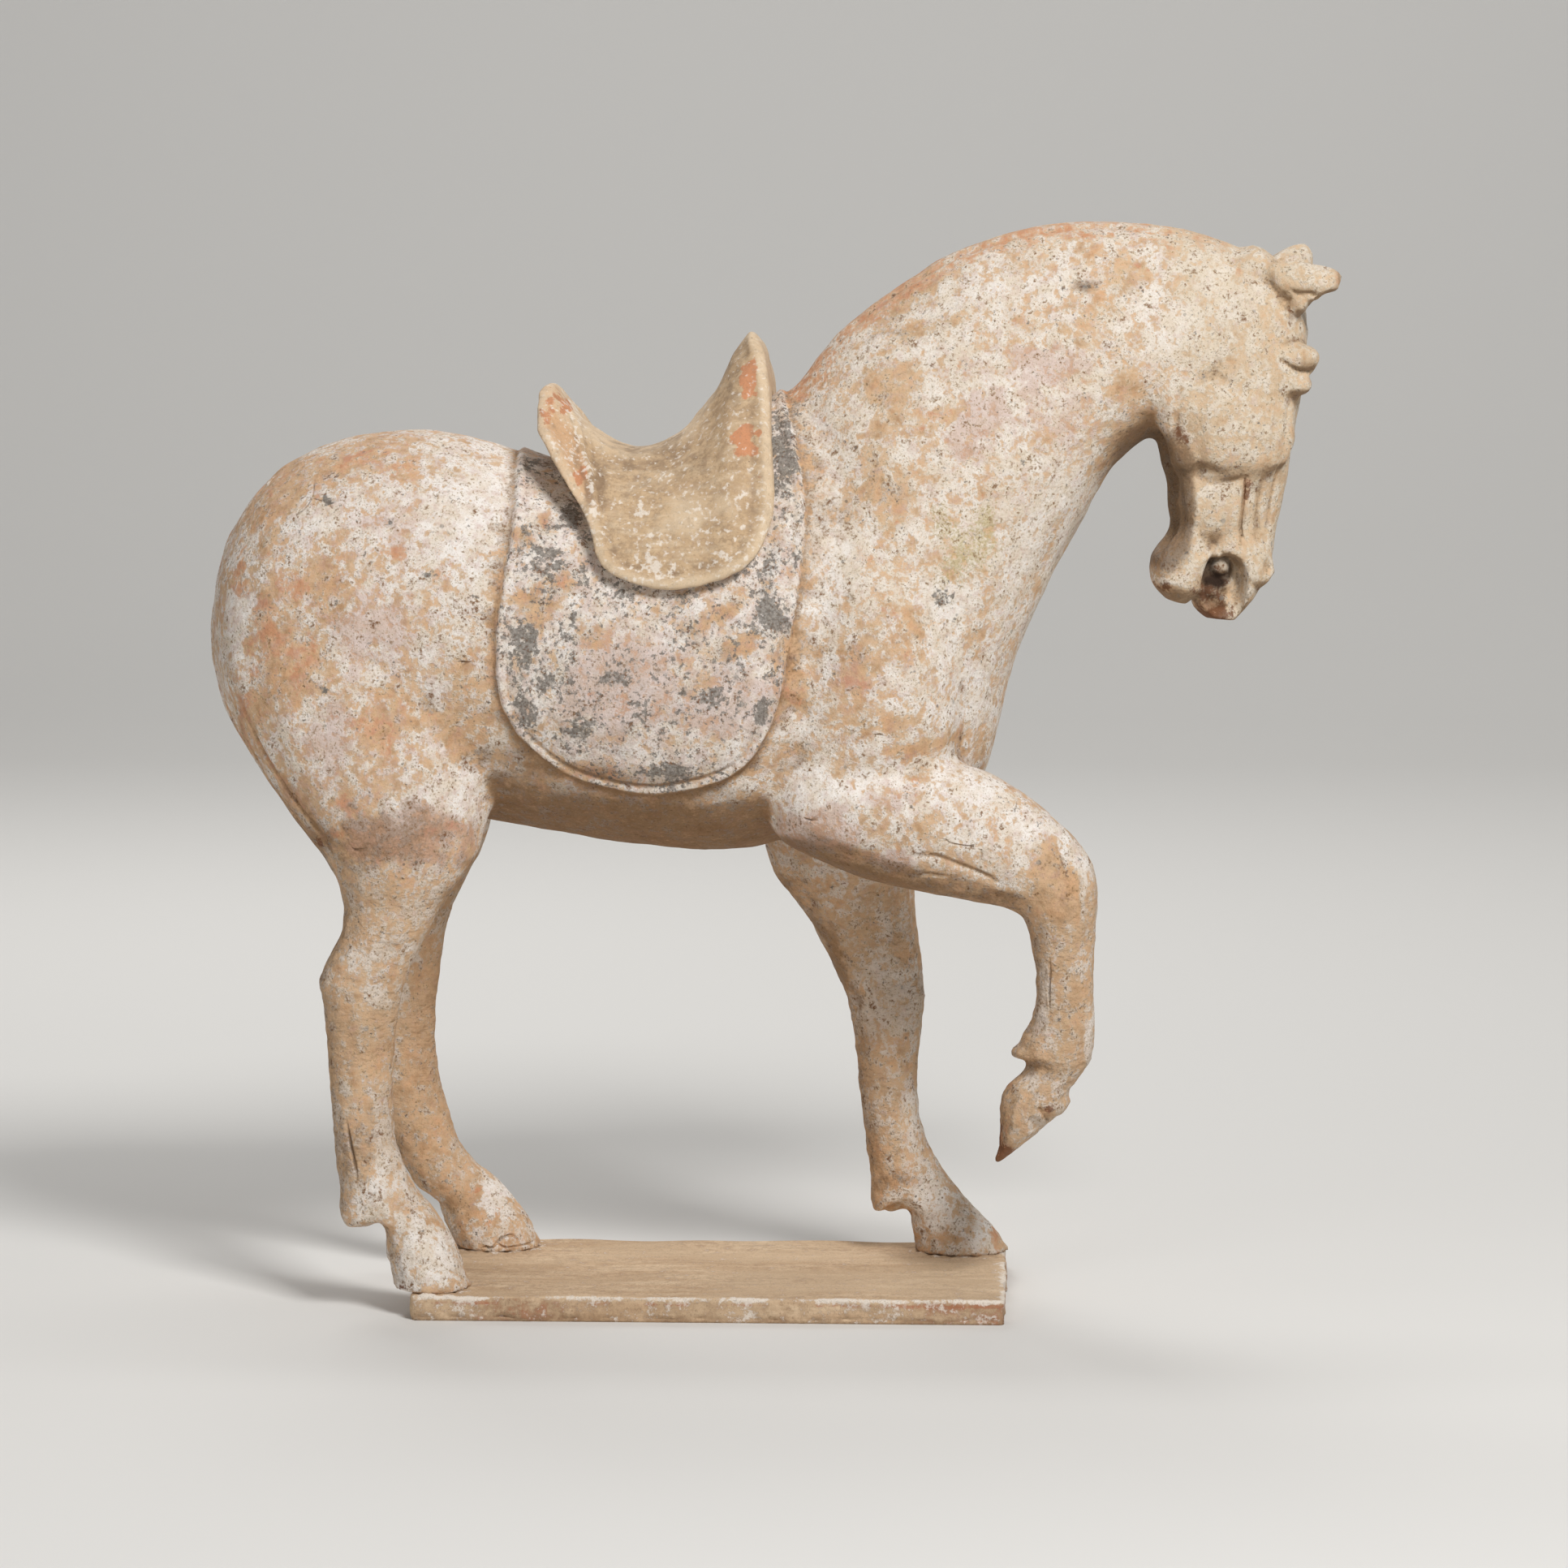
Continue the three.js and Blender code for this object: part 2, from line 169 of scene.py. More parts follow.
def spline(points: np.ndarray, spacing: float) -> np.ndarray:
    """Sample a Catmull-Rom curve through points.

    Args:
        points: The places that it passes, one in each row.
        spacing: The distance between samples, in the points' own unit.

    Returns:
        The samples, one in each row.
    """
    ends = np.vstack([2 * points[0] - points[1], points, 2 * points[-1] - points[-2]])
    rows = []
    for before, start, end, after in zip(ends, ends[1:], ends[2:], ends[3:]):
        count = max(2, int(np.linalg.norm(end - start) / spacing))
        t = np.linspace(0, 1, count, endpoint=False)[:, None]
        bend = (2 * before - 5 * start + 4 * end - after) * t**2
        twist = (3 * start - before - 3 * end + after) * t**3
        rows.append(0.5 * (2 * start + (end - before) * t + bend + twist))
    return np.vstack([*rows, points[-1:]])


def away_from(line: Points, places: np.ndarray) -> np.ndarray:
    """Give how far places x, y, z are from a smooth line seen from the side, all in shares."""
    return distance_to(spline(np.array(line, float), 6.0), places[:, ::2])


@dataclass(frozen=True)
class Figure:
    """The figure's own measure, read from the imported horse."""

    unit: float
    zero_x: float
    sole_z: float

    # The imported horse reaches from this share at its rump, and up to this share at its mane.
    REAR_SHARE = -483.0
    TOP_SHARE = 1000.7
    POLL_SHARE = 516.0
    HEAD_TURN = math.radians(16.0)

    @classmethod
    def read(cls) -> "Figure":
        """Read the measure from the horse's box.

        Returns:
            The measure.
        """
        low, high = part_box("horse")
        unit = (high.z - low.z) / cls.TOP_SHARE
        return cls(unit, low.x - cls.REAR_SHARE * unit, low.z)

    def shares(self, co: np.ndarray, space: Space = Space.BODY) -> np.ndarray:
        """Give points as shares x, y and z.

        Args:
            co: Points in metres.
            space: The coordinates to read them in.

        Returns:
            An array of the same shape.
        """
        x, y, z = (co - [self.zero_x, 0, self.sole_z]).T / self.unit
        if space is Space.HEAD:
            x, y = self._turned(x, y, self.HEAD_TURN)
        return np.stack([x, y, z], axis=1)

    def place(self, shares: np.ndarray, space: Space) -> np.ndarray:
        """Turn one place in shares into metres.

        Args:
            shares: Its x, y and z.
            space: The coordinates that they are given in.

        Returns:
            The place.
        """
        x, y, z = shares
        if space is Space.HEAD:
            x, y = self._turned(x, y, -self.HEAD_TURN)
        return np.array([x, y, z]) * self.unit + [self.zero_x, 0, self.sole_z]

    def _turned(self, x: np.ndarray, y: np.ndarray, angle: float) -> tuple[np.ndarray, np.ndarray]:
        """Turn x and y in shares about the upright line through the poll.

        Args:
            x: Places along the figure.
            y: Places across it.
            angle: The turn in radians, above zero towards its right.

        Returns:
            The turned x and y.
        """
        across, along = math.sin(angle), math.cos(angle)
        dx = x - self.POLL_SHARE
        return self.POLL_SHARE + dx * along + y * across, y * along - dx * across

    def move(self, x: float, z: float, space: Space) -> np.ndarray:
        """Turn a move in shares, along x and z of a space, into metres."""
        turn = self.HEAD_TURN if space is Space.HEAD else 0.0
        return np.array([x * math.cos(turn), x * math.sin(turn), z]) * self.unit


FIGURE = Figure.read()


@dataclass(frozen=True)
class Stroke:
    """A line drawn with a tool on one or both sides of the figure.

    points are its places (x, z) in shares, width and height are in millimetres, and a height
    below zero is a groove. Only clay further left than past, in shares, is touched.
    """

    points: Points
    width: float
    height: float
    sides: tuple[Side, ...] = (Side.RIGHT,)
    space: Space = Space.BODY
    fade: float = 0.25
    past: float = -1000.0


@dataclass(frozen=True)
class Dab:
    """A rounded bump or dent: centre and half size in shares, height in millimetres."""

    centre: tuple[float, float]
    size: tuple[float, float]
    height: float
    sides: tuple[Side, ...] = (Side.RIGHT,)
    space: Space = Space.BODY
    lean: float = 0.0


@dataclass(frozen=True)
class Pull:
    """Clay pulled with the fingers: centre, reach and move in shares, seen from the side."""

    centre: tuple[float, float]
    reach: float
    move: tuple[float, float]
    sides: tuple[Side, ...] = (Side.RIGHT,)
    space: Space = Space.BODY


@dataclass(frozen=True)
class Wad:
    """A lump of clay pressed on before the skin is laid: centre and radii x, y, z in shares."""

    centre: tuple[float, float, float]
    radii: tuple[float, float, float]
    space: Space = Space.HEAD


class Outline:
    """A closed outline seen from the side, in shares."""

    SPACING = 8.0

    def __init__(self, *runs: Points) -> None:
        """Join runs of points, each run a smooth curve, with corners between the runs."""
        self.points = np.vstack([spline(np.array(run, float), self.SPACING) for run in runs])

    def depth(self, places: np.ndarray) -> np.ndarray:
        """Give how far inside the outline each place is.

        Args:
            places: x and z in shares, one place in each row.

        Returns:
            Distances to the outline in shares, below zero outside it.
        """
        closed = np.vstack([self.points, self.points[:1]])
        nearest = distance_to(closed, places)
        inside = np.zeros(len(places), bool)
        for (ax, az), (bx, bz) in zip(closed, closed[1:]):
            crosses = (places[:, 1] >= az) != (places[:, 1] >= bz)
            at = ax + (places[:, 1] - az) * ((bx - ax) / (bz - az) if bz != az else 0.0)
            inside ^= crosses & (places[:, 0] < at)
        return np.where(inside, nearest, -nearest)


class Lumps:
    """Seeded waves that make a surface uneven, as hands and moulds leave it."""

    # The shortest and the longest wave as shares of the usual one.
    SPREAD = (0.7, 1.6)

    def __init__(self, seed: int) -> None:
        """Seed the waves."""
        self.random = np.random.default_rng(seed)

    def at(self, co: np.ndarray, size: float, waves: int = 24) -> np.ndarray:
        """Give the unevenness at points.

        Args:
            co: Points in metres.
            size: The usual length of a lump in millimetres.
            waves: How many waves are added up.

        Returns:
            One number for each point, mostly from -1 to 1.
        """
        total = np.zeros(len(co))
        for _ in range(waves):
            way = self.random.normal(size=3)
            way *= 2 * math.pi / (size * MM * self.random.uniform(*self.SPREAD)) / np.linalg.norm(way)
            total += np.sin(co @ way + self.random.uniform(0, 2 * math.pi))
        return total / math.sqrt(waves)


class Clay:
    """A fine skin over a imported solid, worked in code as clay is with fingers and tools."""

    # A smoothing step moves each point this share of the way to its neighbours' middle.
    STEP = 0.8
    # Clay that is this many shares deeper than the outermost belongs to another layer.
    LAYER = 16.0
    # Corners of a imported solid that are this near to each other, in metres, are one.
    MERGE = 2e-6
    # A stroke's line is sampled this finely and looks at clay this far beyond its ends, in shares.
    SAMPLE = 1.5
    MARGIN = 12.0
    # Each sample of a line looks at clay within this many grains, and at none turned further away.
    GRAINS = 2.4
    TURNED = 0.02
    # A dab fades in between these amounts of facing its side.
    FACING = (0.02, 0.3)
    # A mesh is split where a stroke touches it more than this.
    TOUCHED = 0.12
    # A patch fades out between these shares of its radius.
    PATCH_EDGE = (1.45, 0.5)
    # The outline of a patch strays at most this much, and that much from these half sizes on.
    STRAY = 1.2
    FULL_SHARES = 20
    FULL_RADIUS = 9 * MM

    def __init__(self, mesh: bpy.types.Mesh, grain: float) -> None:
        """Take over a mesh.

        Args:
            mesh: The mesh to work on.
            grain: The usual length of its edges, in metres.
        """
        self.mesh = mesh
        self.grain = grain
        self.relief = np.zeros(len(mesh.vertices))
        self._neighbours()

    @classmethod
    def over(cls, node: str, grain: float, wads: tuple[Wad, ...] = ()) -> "Clay":
        """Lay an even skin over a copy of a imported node.

        Args:
            node: The node's name.
            grain: The skin's voxel size in metres.
            wads: Lumps that are added to the copy.

        Returns:
            The skin.
        """
        source = bmesh.new()
        source.from_mesh(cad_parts[node].data)
        bmesh.ops.remove_doubles(source, verts=source.verts, dist=cls.MERGE)
        for wad in wads:
            for vert in bmesh.ops.create_icosphere(source, subdivisions=4, radius=1.0)["verts"]:
                vert.co = FIGURE.place(np.array(wad.centre) + np.array(wad.radii) * vert.co, wad.space)
        mesh = bpy.data.meshes.new(f"{node}_core")
        source.to_mesh(mesh)
        source.free()
        shell = bpy.data.objects.new(f"{node}_core", mesh)
        bpy.context.scene.collection.objects.link(shell)
        remesh = shell.modifiers.new("even skin", "REMESH")
        remesh.mode = "VOXEL"
        remesh.voxel_size = grain
        return cls(bake(shell), grain)

    @property
    def co(self) -> np.ndarray:
        """The points' places in metres."""
        co = np.empty(len(self.mesh.vertices) * 3, np.float32)
        self.mesh.vertices.foreach_get("co", co)
        return co.reshape(-1, 3).astype(float)

    @co.setter
    def co(self, places: np.ndarray) -> None:
        """Move the points to places in metres."""
        self.mesh.vertices.foreach_set("co", places.astype(np.float32).ravel())
        self.mesh.update()

    @property
    def normals(self) -> np.ndarray:
        """The points' outward directions."""
        normals = np.empty(len(self.mesh.vertices) * 3, np.float32)
        self.mesh.vertex_normals.foreach_get("vector", normals)
        return normals.reshape(-1, 3).astype(float)

    def _neighbours(self) -> None:
        """Work out each point's neighbours, padded with the point itself."""
        count = len(self.mesh.vertices)
        edges = np.empty(len(self.mesh.edges) * 2, np.int32)
        self.mesh.edges.foreach_get("vertices", edges)
        pairs = edges.reshape(-1, 2)
        pairs = np.concatenate([pairs, pairs[:, ::-1]])
        pairs = pairs[np.argsort(pairs[:, 0], kind="stable")]
        self.degree = np.bincount(pairs[:, 0], minlength=count)
        first = np.cumsum(self.degree) - self.degree
        place = np.arange(len(pairs)) - first[pairs[:, 0]]
        self.table = np.tile(np.arange(count), (self.degree.max(), 1))
        self.table[place, pairs[:, 0]] = pairs[:, 1]

    def blurred(
        self, values: np.ndarray, sigma: np.ndarray | float, held: np.ndarray | None = None
    ) -> np.ndarray:
        """Spread values over the skin.

        Args:
            values: One number or one row for each point.
            sigma: How far they spread, in millimetres, for all points or for each.
            held: Which points are worked on, where it isn't all; the others keep their values.

        Returns:
            The spread values.
        """
        at = np.arange(len(values)) if held is None else np.nonzero(held)[0]
        reach = np.broadcast_to(np.asarray(sigma, float), (len(values),))[at] * MM
        share = (reach / reach.max()) ** 2 * self.STEP
        steps = math.ceil(reach.max() ** 2 / (0.5 * self.STEP * self.grain**2))
        shape = (-1,) + (1,) * (values.ndim - 1)
        share, degree = share.reshape(shape), np.maximum(self.degree[at], 1).reshape(shape)
        table, pad = self.table[:, at], len(self.table) - self.degree[at].reshape(shape)
        values = values.astype(float)
        for _ in range(steps):
            total = sum(values[row] for row in table) - pad * values[at]
            values[at] += share * (total / degree - values[at])
        return values

    def smooth(self, sigma: np.ndarray | float, held: np.ndarray | None = None) -> None:
        """Smooth facets away and keep the form's size.

        Args:
            sigma: The length that is smoothed over, in millimetres, for all points or for each.
            held: Which points are worked on, where it isn't all.
        """
        once = self.blurred(self.co, sigma, held)
        self.co = 2 * once - self.blurred(once, sigma, held)

    def fill(self, where: np.ndarray, sigma: float) -> None:
        """Fill hollows with clay up to the surface around them.

        Args:
            where: How much each point is filled, from 0 to 1.
            sigma: The length that the surface is judged over, in millimetres.
        """
        lift = ((self.blurred(self.co, sigma, where > 0) - self.co) * self.normals).sum(1)
        self.co = self.co + self.normals * (np.maximum(lift, 0) * where)[:, None]

    def pull(self, *pulls: Pull) -> None:
        """Move clay bodily.

        Args:
            pulls: The moves, each made on what the one before left.
        """
        co = self.co
        for pull in pulls:
            places = FIGURE.shares(co, pull.space)
            away = np.hypot(places[:, 0] - pull.centre[0], places[:, 2] - pull.centre[1])
            weight = smoothstep(away, pull.reach, 0.15 * pull.reach)
            weight *= sum(smoothstep(places[:, 1] * side.value, -4, 4) for side in pull.sides)
            co = co + weight[:, None] * FIGURE.move(*pull.move, pull.space)
        self.co = co

    def press(self) -> None:
        """Move the points out along their normals by the relief drawn so far."""
        self.co = self.co + self.normals * self.relief[:, None]
        self.relief = np.zeros(len(self.mesh.vertices))

    def _line_on(self, stroke: Stroke, side: Side, places: np.ndarray) -> np.ndarray:
        """Lay a stroke's line on the skin.

        Args:
            stroke: The stroke.
            side: The side of the figure that it is on.
            places: All points in shares.

        Returns:
            The line's samples as rows of x, y and z in shares.
        """
        line = spline(np.array(stroke.points, float), self.SAMPLE)
        low, high = line.min(0) - self.MARGIN, line.max(0) + self.MARGIN
        held = (places[:, ::2] > low).all(1) & (places[:, ::2] < high).all(1)
        held &= (places[:, 1] > stroke.past) & (self.normals[:, 1] * side.value > self.TURNED)
        near = places[held]
        reach = self.GRAINS * self.grain / FIGURE.unit
        rows = []
        for x, z in line:
            away = np.hypot(near[:, 0] - x, near[:, 2] - z)
            out = np.where(away < reach, near[:, 1] * side.value, -np.inf)
            outer = out > out.max(initial=-np.inf) - self.LAYER
            if outer.any():
                weight = np.exp(-((2.4 * away[outer] / reach) ** 2))
                rows.append((x, np.average(near[outer, 1], weights=weight), z))
        return np.array(rows)

    def touch(self, stroke: Stroke) -> np.ndarray:
        """Give how strongly a stroke touches each point.

        Args:
            stroke: The stroke.

        Returns:
            Numbers from 0 to 1, one for each point.
        """
        places = FIGURE.shares(self.co, stroke.space)
        width = stroke.width * MM / FIGURE.unit
        touched = np.zeros(len(places))
        for side in stroke.sides:
            line = self._line_on(stroke, side, places)
            if len(line) < 2:
                continue
            low, high = line.min(0) - 3 * width, line.max(0) + 3 * width
            near = np.nonzero(((places > low) & (places < high)).all(1))[0]
            best, along = np.full(len(near), np.inf), np.zeros(len(near))
            for i, (start, end) in enumerate(zip(line, line[1:])):
                distance, t = to_segment(start, end, places[near])
                closer = distance < best
                best[closer] = distance[closer]
                along[closer] = (i + t[closer]) / (len(line) - 1)
            ends = smoothstep(np.minimum(along, 1 - along), -1e-6, max(stroke.fade, 1e-3))
            touched[near] = np.maximum(touched[near], np.exp(-((best / width) ** 2)) * ends)
        return touched

    def draw(self, *strokes: Stroke) -> None:
        """Add strokes to the relief."""
        for stroke in strokes:
            self.relief += self.touch(stroke) * stroke.height * MM

    def daub(self, *dabs: Dab) -> None:
        """Add dabs to the relief.

        Args:
            dabs: The dabs, which add up where they meet.
        """
        for dab in dabs:
            places = FIGURE.shares(self.co, dab.space)
            patch = (*dab.centre, *dab.size, dab.lean, 1.0)
            inside = np.exp(-(ellipse(places, patch) ** 2))
            on_side = sum((places[:, 1] * side.value > 0).astype(float) for side in dab.sides)
            facing = smoothstep(np.abs(self.normals[:, 1]), *self.FACING)
            self.relief += inside * on_side * facing * dab.height * MM

    @cached_property
    def wander(self) -> np.ndarray:
        """How far each point's place strays in shares, so that a patch's outline is uneven."""
        lumps, co = Lumps(71), self.co
        along, up = (8 * lumps.at(co, 17) + 5 * lumps.at(co, 6) for _ in range(2))
        return np.stack([along, np.zeros(len(co)), up], axis=1)

    def patches(
        self, rows: tuple[Patch, ...], space: Space = Space.BODY, inner: bool = False
    ) -> np.ndarray:
        """Add up patches on what faces right.

        Args:
            rows: The patches.
            space: The coordinates of their places.
            inner: Whether they are on the far legs' inner faces, and not on the near side.

        Returns:
            One amount for each point.
        """
        places = FIGURE.shares(self.co, space)
        facing = smoothstep(-self.normals[:, 1], -0.6, 0.0)
        facing *= places[:, 1] > 5 if inner else smoothstep(places[:, 1], 14, 0)
        total = np.zeros(len(places))
        for patch in rows:
            stray = self.wander * min(self.STRAY, min(patch[2:4]) / self.FULL_SHARES)
            total += patch[5] * smoothstep(ellipse(places + stray, patch), *self.PATCH_EDGE)
        return total * facing

    def scatter(self, seed: int, count: int, small: float, large: float) -> np.ndarray:
        """Scatter round patches over the side that the photograph doesn't show.

        Args:
            seed: The seed of their places.
            count: How many there are.
            small: The least radius in millimetres.
            large: The greatest radius in millimetres.

        Returns:
            Amounts from 0 to 1.
        """
        random = np.random.default_rng(seed)
        co, normals = self.co, self.normals
        away = np.full(len(co), np.inf)
        for index in random.choice(np.nonzero(normals[:, 1] > 0.2)[0], count):
            radius = random.uniform(small, large) * MM
            stray = self.wander * FIGURE.unit * min(self.STRAY, radius / self.FULL_RADIUS)
            reach = np.linalg.norm((co + stray - co[index]) * [1, 1, 0.8], axis=1) / radius
            away = np.minimum(away, reach)
        return smoothstep(away, *self.PATCH_EDGE) * smoothstep(normals[:, 1], -0.2, 0.3)

    def thinned(self, triangles: int) -> "Clay":
        """Thin the skin, and keep it finest where it bends most.

        Args:
            triangles: About how many triangles are left.

        Returns:
            The thinner skin.
        """
        shell = bpy.data.objects.new("skin", self.mesh)
        bpy.context.scene.collection.objects.link(shell)
        flat = shell.modifiers.new("triangles", "TRIANGULATE")
        flat.quad_method = "SHORTEST_DIAGONAL"
        thin = shell.modifiers.new("thin", "DECIMATE")
        thin.ratio = triangles / (2 * len(self.mesh.polygons))
        return Clay(bake(shell), self.grain)

    def refined(self, strokes: tuple[Stroke, ...], *widths: float) -> "Clay":
        """Split the mesh finer along strokes that are narrower than its grain.

        Args:
            strokes: The strokes.
            widths: How wide a band is split in each round, in millimetres.

        Returns:
            The finer skin.
        """
        clay = self
        for width in widths:
            bands = (replace(stroke, width=width, fade=0.0) for stroke in strokes)
            near = sum(clay.touch(band) for band in bands) > self.TOUCHED
            finer = bmesh.new()
            finer.from_mesh(clay.mesh)
            edges = [edge for edge in finer.edges if all(near[vert.index] for vert in edge.verts)]
            bmesh.ops.subdivide_edges(finer, edges=edges, cuts=1)
            bmesh.ops.triangulate(finer, faces=[face for face in finer.faces if len(face.verts) > 3])
            finer.to_mesh(clay.mesh)
            finer.free()
            clay = Clay(clay.mesh, clay.grain)
        return clay

    def paint(self, coat: Coat, values: np.ndarray) -> None:
        """Keep a coat's amount for each point, where materials can read it."""
        layer = self.mesh.attributes.new(coat.value, "FLOAT", "POINT")
        layer.data.foreach_set("value", np.clip(values, 0, 1).astype(np.float32))

    def piece(self, name: str, node: str, slot: str, material: bpy.types.Material) -> bpy.types.Object:
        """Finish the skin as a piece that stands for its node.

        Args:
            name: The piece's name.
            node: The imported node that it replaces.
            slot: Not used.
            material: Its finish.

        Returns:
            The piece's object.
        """
        self.mesh.name = name
        self.mesh.materials.clear()
        self.mesh.materials.append(material)
        self.mesh.shade_smooth()
        piece = bpy.data.objects.new(name, self.mesh)
        bpy.context.scene.collection.objects.link(piece)
        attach(piece, "root")
        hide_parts(node)
        log.info("%s: %d triangles", name, sum(len(p.vertices) - 2 for p in self.mesh.polygons))
        return piece


def ellipse(places: np.ndarray, patch: Patch) -> np.ndarray:
    """Give how far out of a patch's ellipse each place is.

    Args:
        places: Places in shares, one in each row.
        patch: The patch, whose amount isn't used.

    Returns:
        One number for each place, 0 in the middle and 1 on the edge.
    """
    x, z, half_length, half_height, lean, _ = patch
    along, across = math.cos(math.radians(lean)), math.sin(math.radians(lean))
    dx, dz = places[:, 0] - x, places[:, 2] - z
    return np.hypot((dx * along + dz * across) / half_length, (dz * along - dx * across) / half_height)


def bake(shell: bpy.types.Object) -> bpy.types.Mesh:
    """Apply an object's modifiers and drop the object.

    Args:
        shell: The object, whose own mesh is dropped too.

    Returns:
        The finished mesh.
    """
    graph = bpy.context.evaluated_depsgraph_get()
    mesh = bpy.data.meshes.new_from_object(shell.evaluated_get(graph))
    old = shell.data
    bpy.data.objects.remove(shell)
    bpy.data.meshes.remove(old)
    return mesh


def add(tree: bpy.types.NodeTree, kind: str, inputs: dict, **settings) -> bpy.types.Node:
    """Add a node with its settings and links.

    Args:
        tree: The node tree.
        kind: The node's type without its "ShaderNode" prefix.
        inputs: Sockets to link or plain values, by input name or number.
        settings: The node's own properties.

    Returns:
        The node.
    """
    node = tree.nodes.new(f"ShaderNode{kind}")
    for name, value in settings.items():
        setattr(node, name, value)
    for name, value in inputs.items():
        if isinstance(value, Socket):
            tree.links.new(value, node.inputs[name])
        else:
            node.inputs[name].default_value = value
    return node


class Coats:
    """Colour and relief laid coat on coat in one material."""

    def __init__(self, name: str, ground: str) -> None:
        """Start a material with one plain colour.

        Args:
            name: The material's name.
            ground: The hex colour of what lies under every coat.
        """
        self.material = bpy.data.materials.new(name)
        self.material.use_nodes = True
        self.tree = self.material.node_tree
        self.tree.nodes.clear()
        self.place = add(self.tree, "TexCoord", {}).outputs["Object"]
        self.colour: Socket = add(self.tree, "RGB", {}).outputs[0]
        self.colour.default_value = linear(ground)
        self.heights: list[tuple[Socket, float]] = []

    def math(self, operation: str, *values: Socket | float) -> Socket:
        """Work out one number with a maths node."""
        return add(self.tree, "Math", dict(enumerate(values)), operation=operation).outputs[0]

    def noise(
        self, size: float, detail: float, rough: float = 0.6, stretch: tuple = (1, 1, 1)
    ) -> Socket:
        """Give cloudy noise from 0 to 1.

        Args:
            size: The size of its largest clouds in millimetres.
            detail: How many finer layers it has.
            rough: How strong the finer layers are.
            stretch: How much longer the clouds are along each axis.

        Returns:
            Its value.
        """
        place = self.place
        if stretch != (1, 1, 1):
            scale = tuple(1 / s for s in stretch)
            place = add(self.tree, "Mapping", {"Vector": self.place, "Scale": scale}).outputs[0]
        inputs = {"Vector": place, "Scale": 1 / (size * MM), "Detail": detail, "Roughness": rough}
        return add(self.tree, "TexNoise", inputs).outputs["Fac"]

    def painted(self, coat: Coat) -> Socket:
        """Read where a coat was painted on the piece's points."""
        return add(self.tree, "Attribute", {}, attribute_name=coat.value).outputs["Fac"]

    def mixed(self, *parts: tuple[Socket, float]) -> Socket:
        """Add noises up about the middle of 0.5.

        Args:
            parts: Each noise with its share of the sum.

        Returns:
            The sum.
        """
        total: Socket | float = 0.5
        for noise, share in parts:
            total = self.math("MULTIPLY_ADD", self.math("SUBTRACT", noise, 0.5), share, total)
        return total

    def ragged(self, amount: Socket | float, noise: Socket, wander: float, edge: float) -> Socket:
        """Give a mask with a broken edge.

        Args:
            amount: How much is covered, from 0 to 1.
            noise: What breaks the edge.
            wander: How far the noise moves the edge.
            edge: How soft the edge is.

        Returns:
            The mask, from 0 to 1.
        """
        moved = self.math("MULTIPLY_ADD", self.math("SUBTRACT", noise, 0.5), wander, amount)
        inputs = {"Value": moved, "From Min": 0.5 - edge, "From Max": 0.5 + edge}
        return add(self.tree, "MapRange", inputs, interpolation_type="SMOOTHSTEP").outputs[0]

    def zone(self, coat: Coat, noise: Socket, wander: float, edge: float) -> Socket:
        """Give the mask of a painted coat, its edge broken as ragged breaks it."""
        return self.ragged(self.painted(coat), noise, wander, edge)

    def blend(self, one: str, other: str, noise: Socket) -> Socket:
        """Mix two hex colours by noise."""
        inputs = {0: noise, 6: linear(one), 7: linear(other)}
        return add(self.tree, "Mix", inputs, data_type="RGBA").outputs[2]

    def lay(self, colour: str | Socket, mask: Socket | float, strength: float = 1.0) -> None:
        """Lay a coat over what is there.

        Args:
            colour: A hex colour or a colour socket.
            mask: Where it lies, from 0 to 1.
            strength: How much it covers there.
        """
        if strength != 1.0:
            mask = self.math("MULTIPLY", mask, strength)
        coat = linear(colour) if isinstance(colour, str) else colour
        self.colour = add(self.tree, "Mix", {0: mask, 6: self.colour, 7: coat}, data_type="RGBA").outputs[2]

    def raise_by(self, height: Socket, millimetres: float) -> None:
        """Add a layer of fine relief that is a number of millimetres high."""
        self.heights.append((height, millimetres))

    def specks(self, spacing: float, share: float, size: float) -> Socket:
        """Give a mask of scattered round specks.

        Args:
            spacing: The distance between places where a speck may be, in millimetres.
            share: How many of those places have one.
            size: The largest speck's radius as a share of the spacing.

        Returns:
            The mask, from 0 to 1.
        """
        cells = add(self.tree, "TexVoronoi", {"Vector": self.place, "Scale": 1 / (spacing * MM)})
        lot = add(self.tree, "SeparateColor", {0: cells.outputs["Color"]})
        there = self.math("LESS_THAN", lot.outputs[0], share)
        radius = self.math("MULTIPLY_ADD", lot.outputs[1], size * 0.7, size * 0.3)
        wobble = self.math("SUBTRACT", self.noise(spacing * 0.25, 2), 0.5)
        edge = self.math("MULTIPLY_ADD", wobble, size * 0.9, cells.outputs["Distance"])
        inside = self.math("SUBTRACT", radius, edge)
        soft = add(self.tree, "MapRange", {"Value": inside, "From Min": 0.0, "From Max": size * 0.3})
        return self.math("MULTIPLY", there, soft.outputs[0])

    def finish(self, roughness: float, specular: float) -> bpy.types.Material:
        """Join the coats to the shader.

        Args:
            roughness: The surface's roughness.
            specular: Its specular level.

        Returns:
            The material.
        """
        shader = add(self.tree, "BsdfPrincipled", {"Base Color": self.colour})
        shader.inputs["Roughness"].default_value = roughness
        shader.inputs["Specular IOR Level"].default_value = specular
        normal = None
        for height, millimetres in self.heights:
            inputs = {"Height": height, "Distance": millimetres * MM, "Strength": 1.0}
            if normal is not None:
                inputs["Normal"] = normal
            normal = add(self.tree, "Bump", inputs).outputs[0]
        if normal is not None:
            self.tree.links.new(normal, shader.inputs["Normal"])
        add(self.tree, "OutputMaterial", {"Surface": shader.outputs[0]})
        return self.material


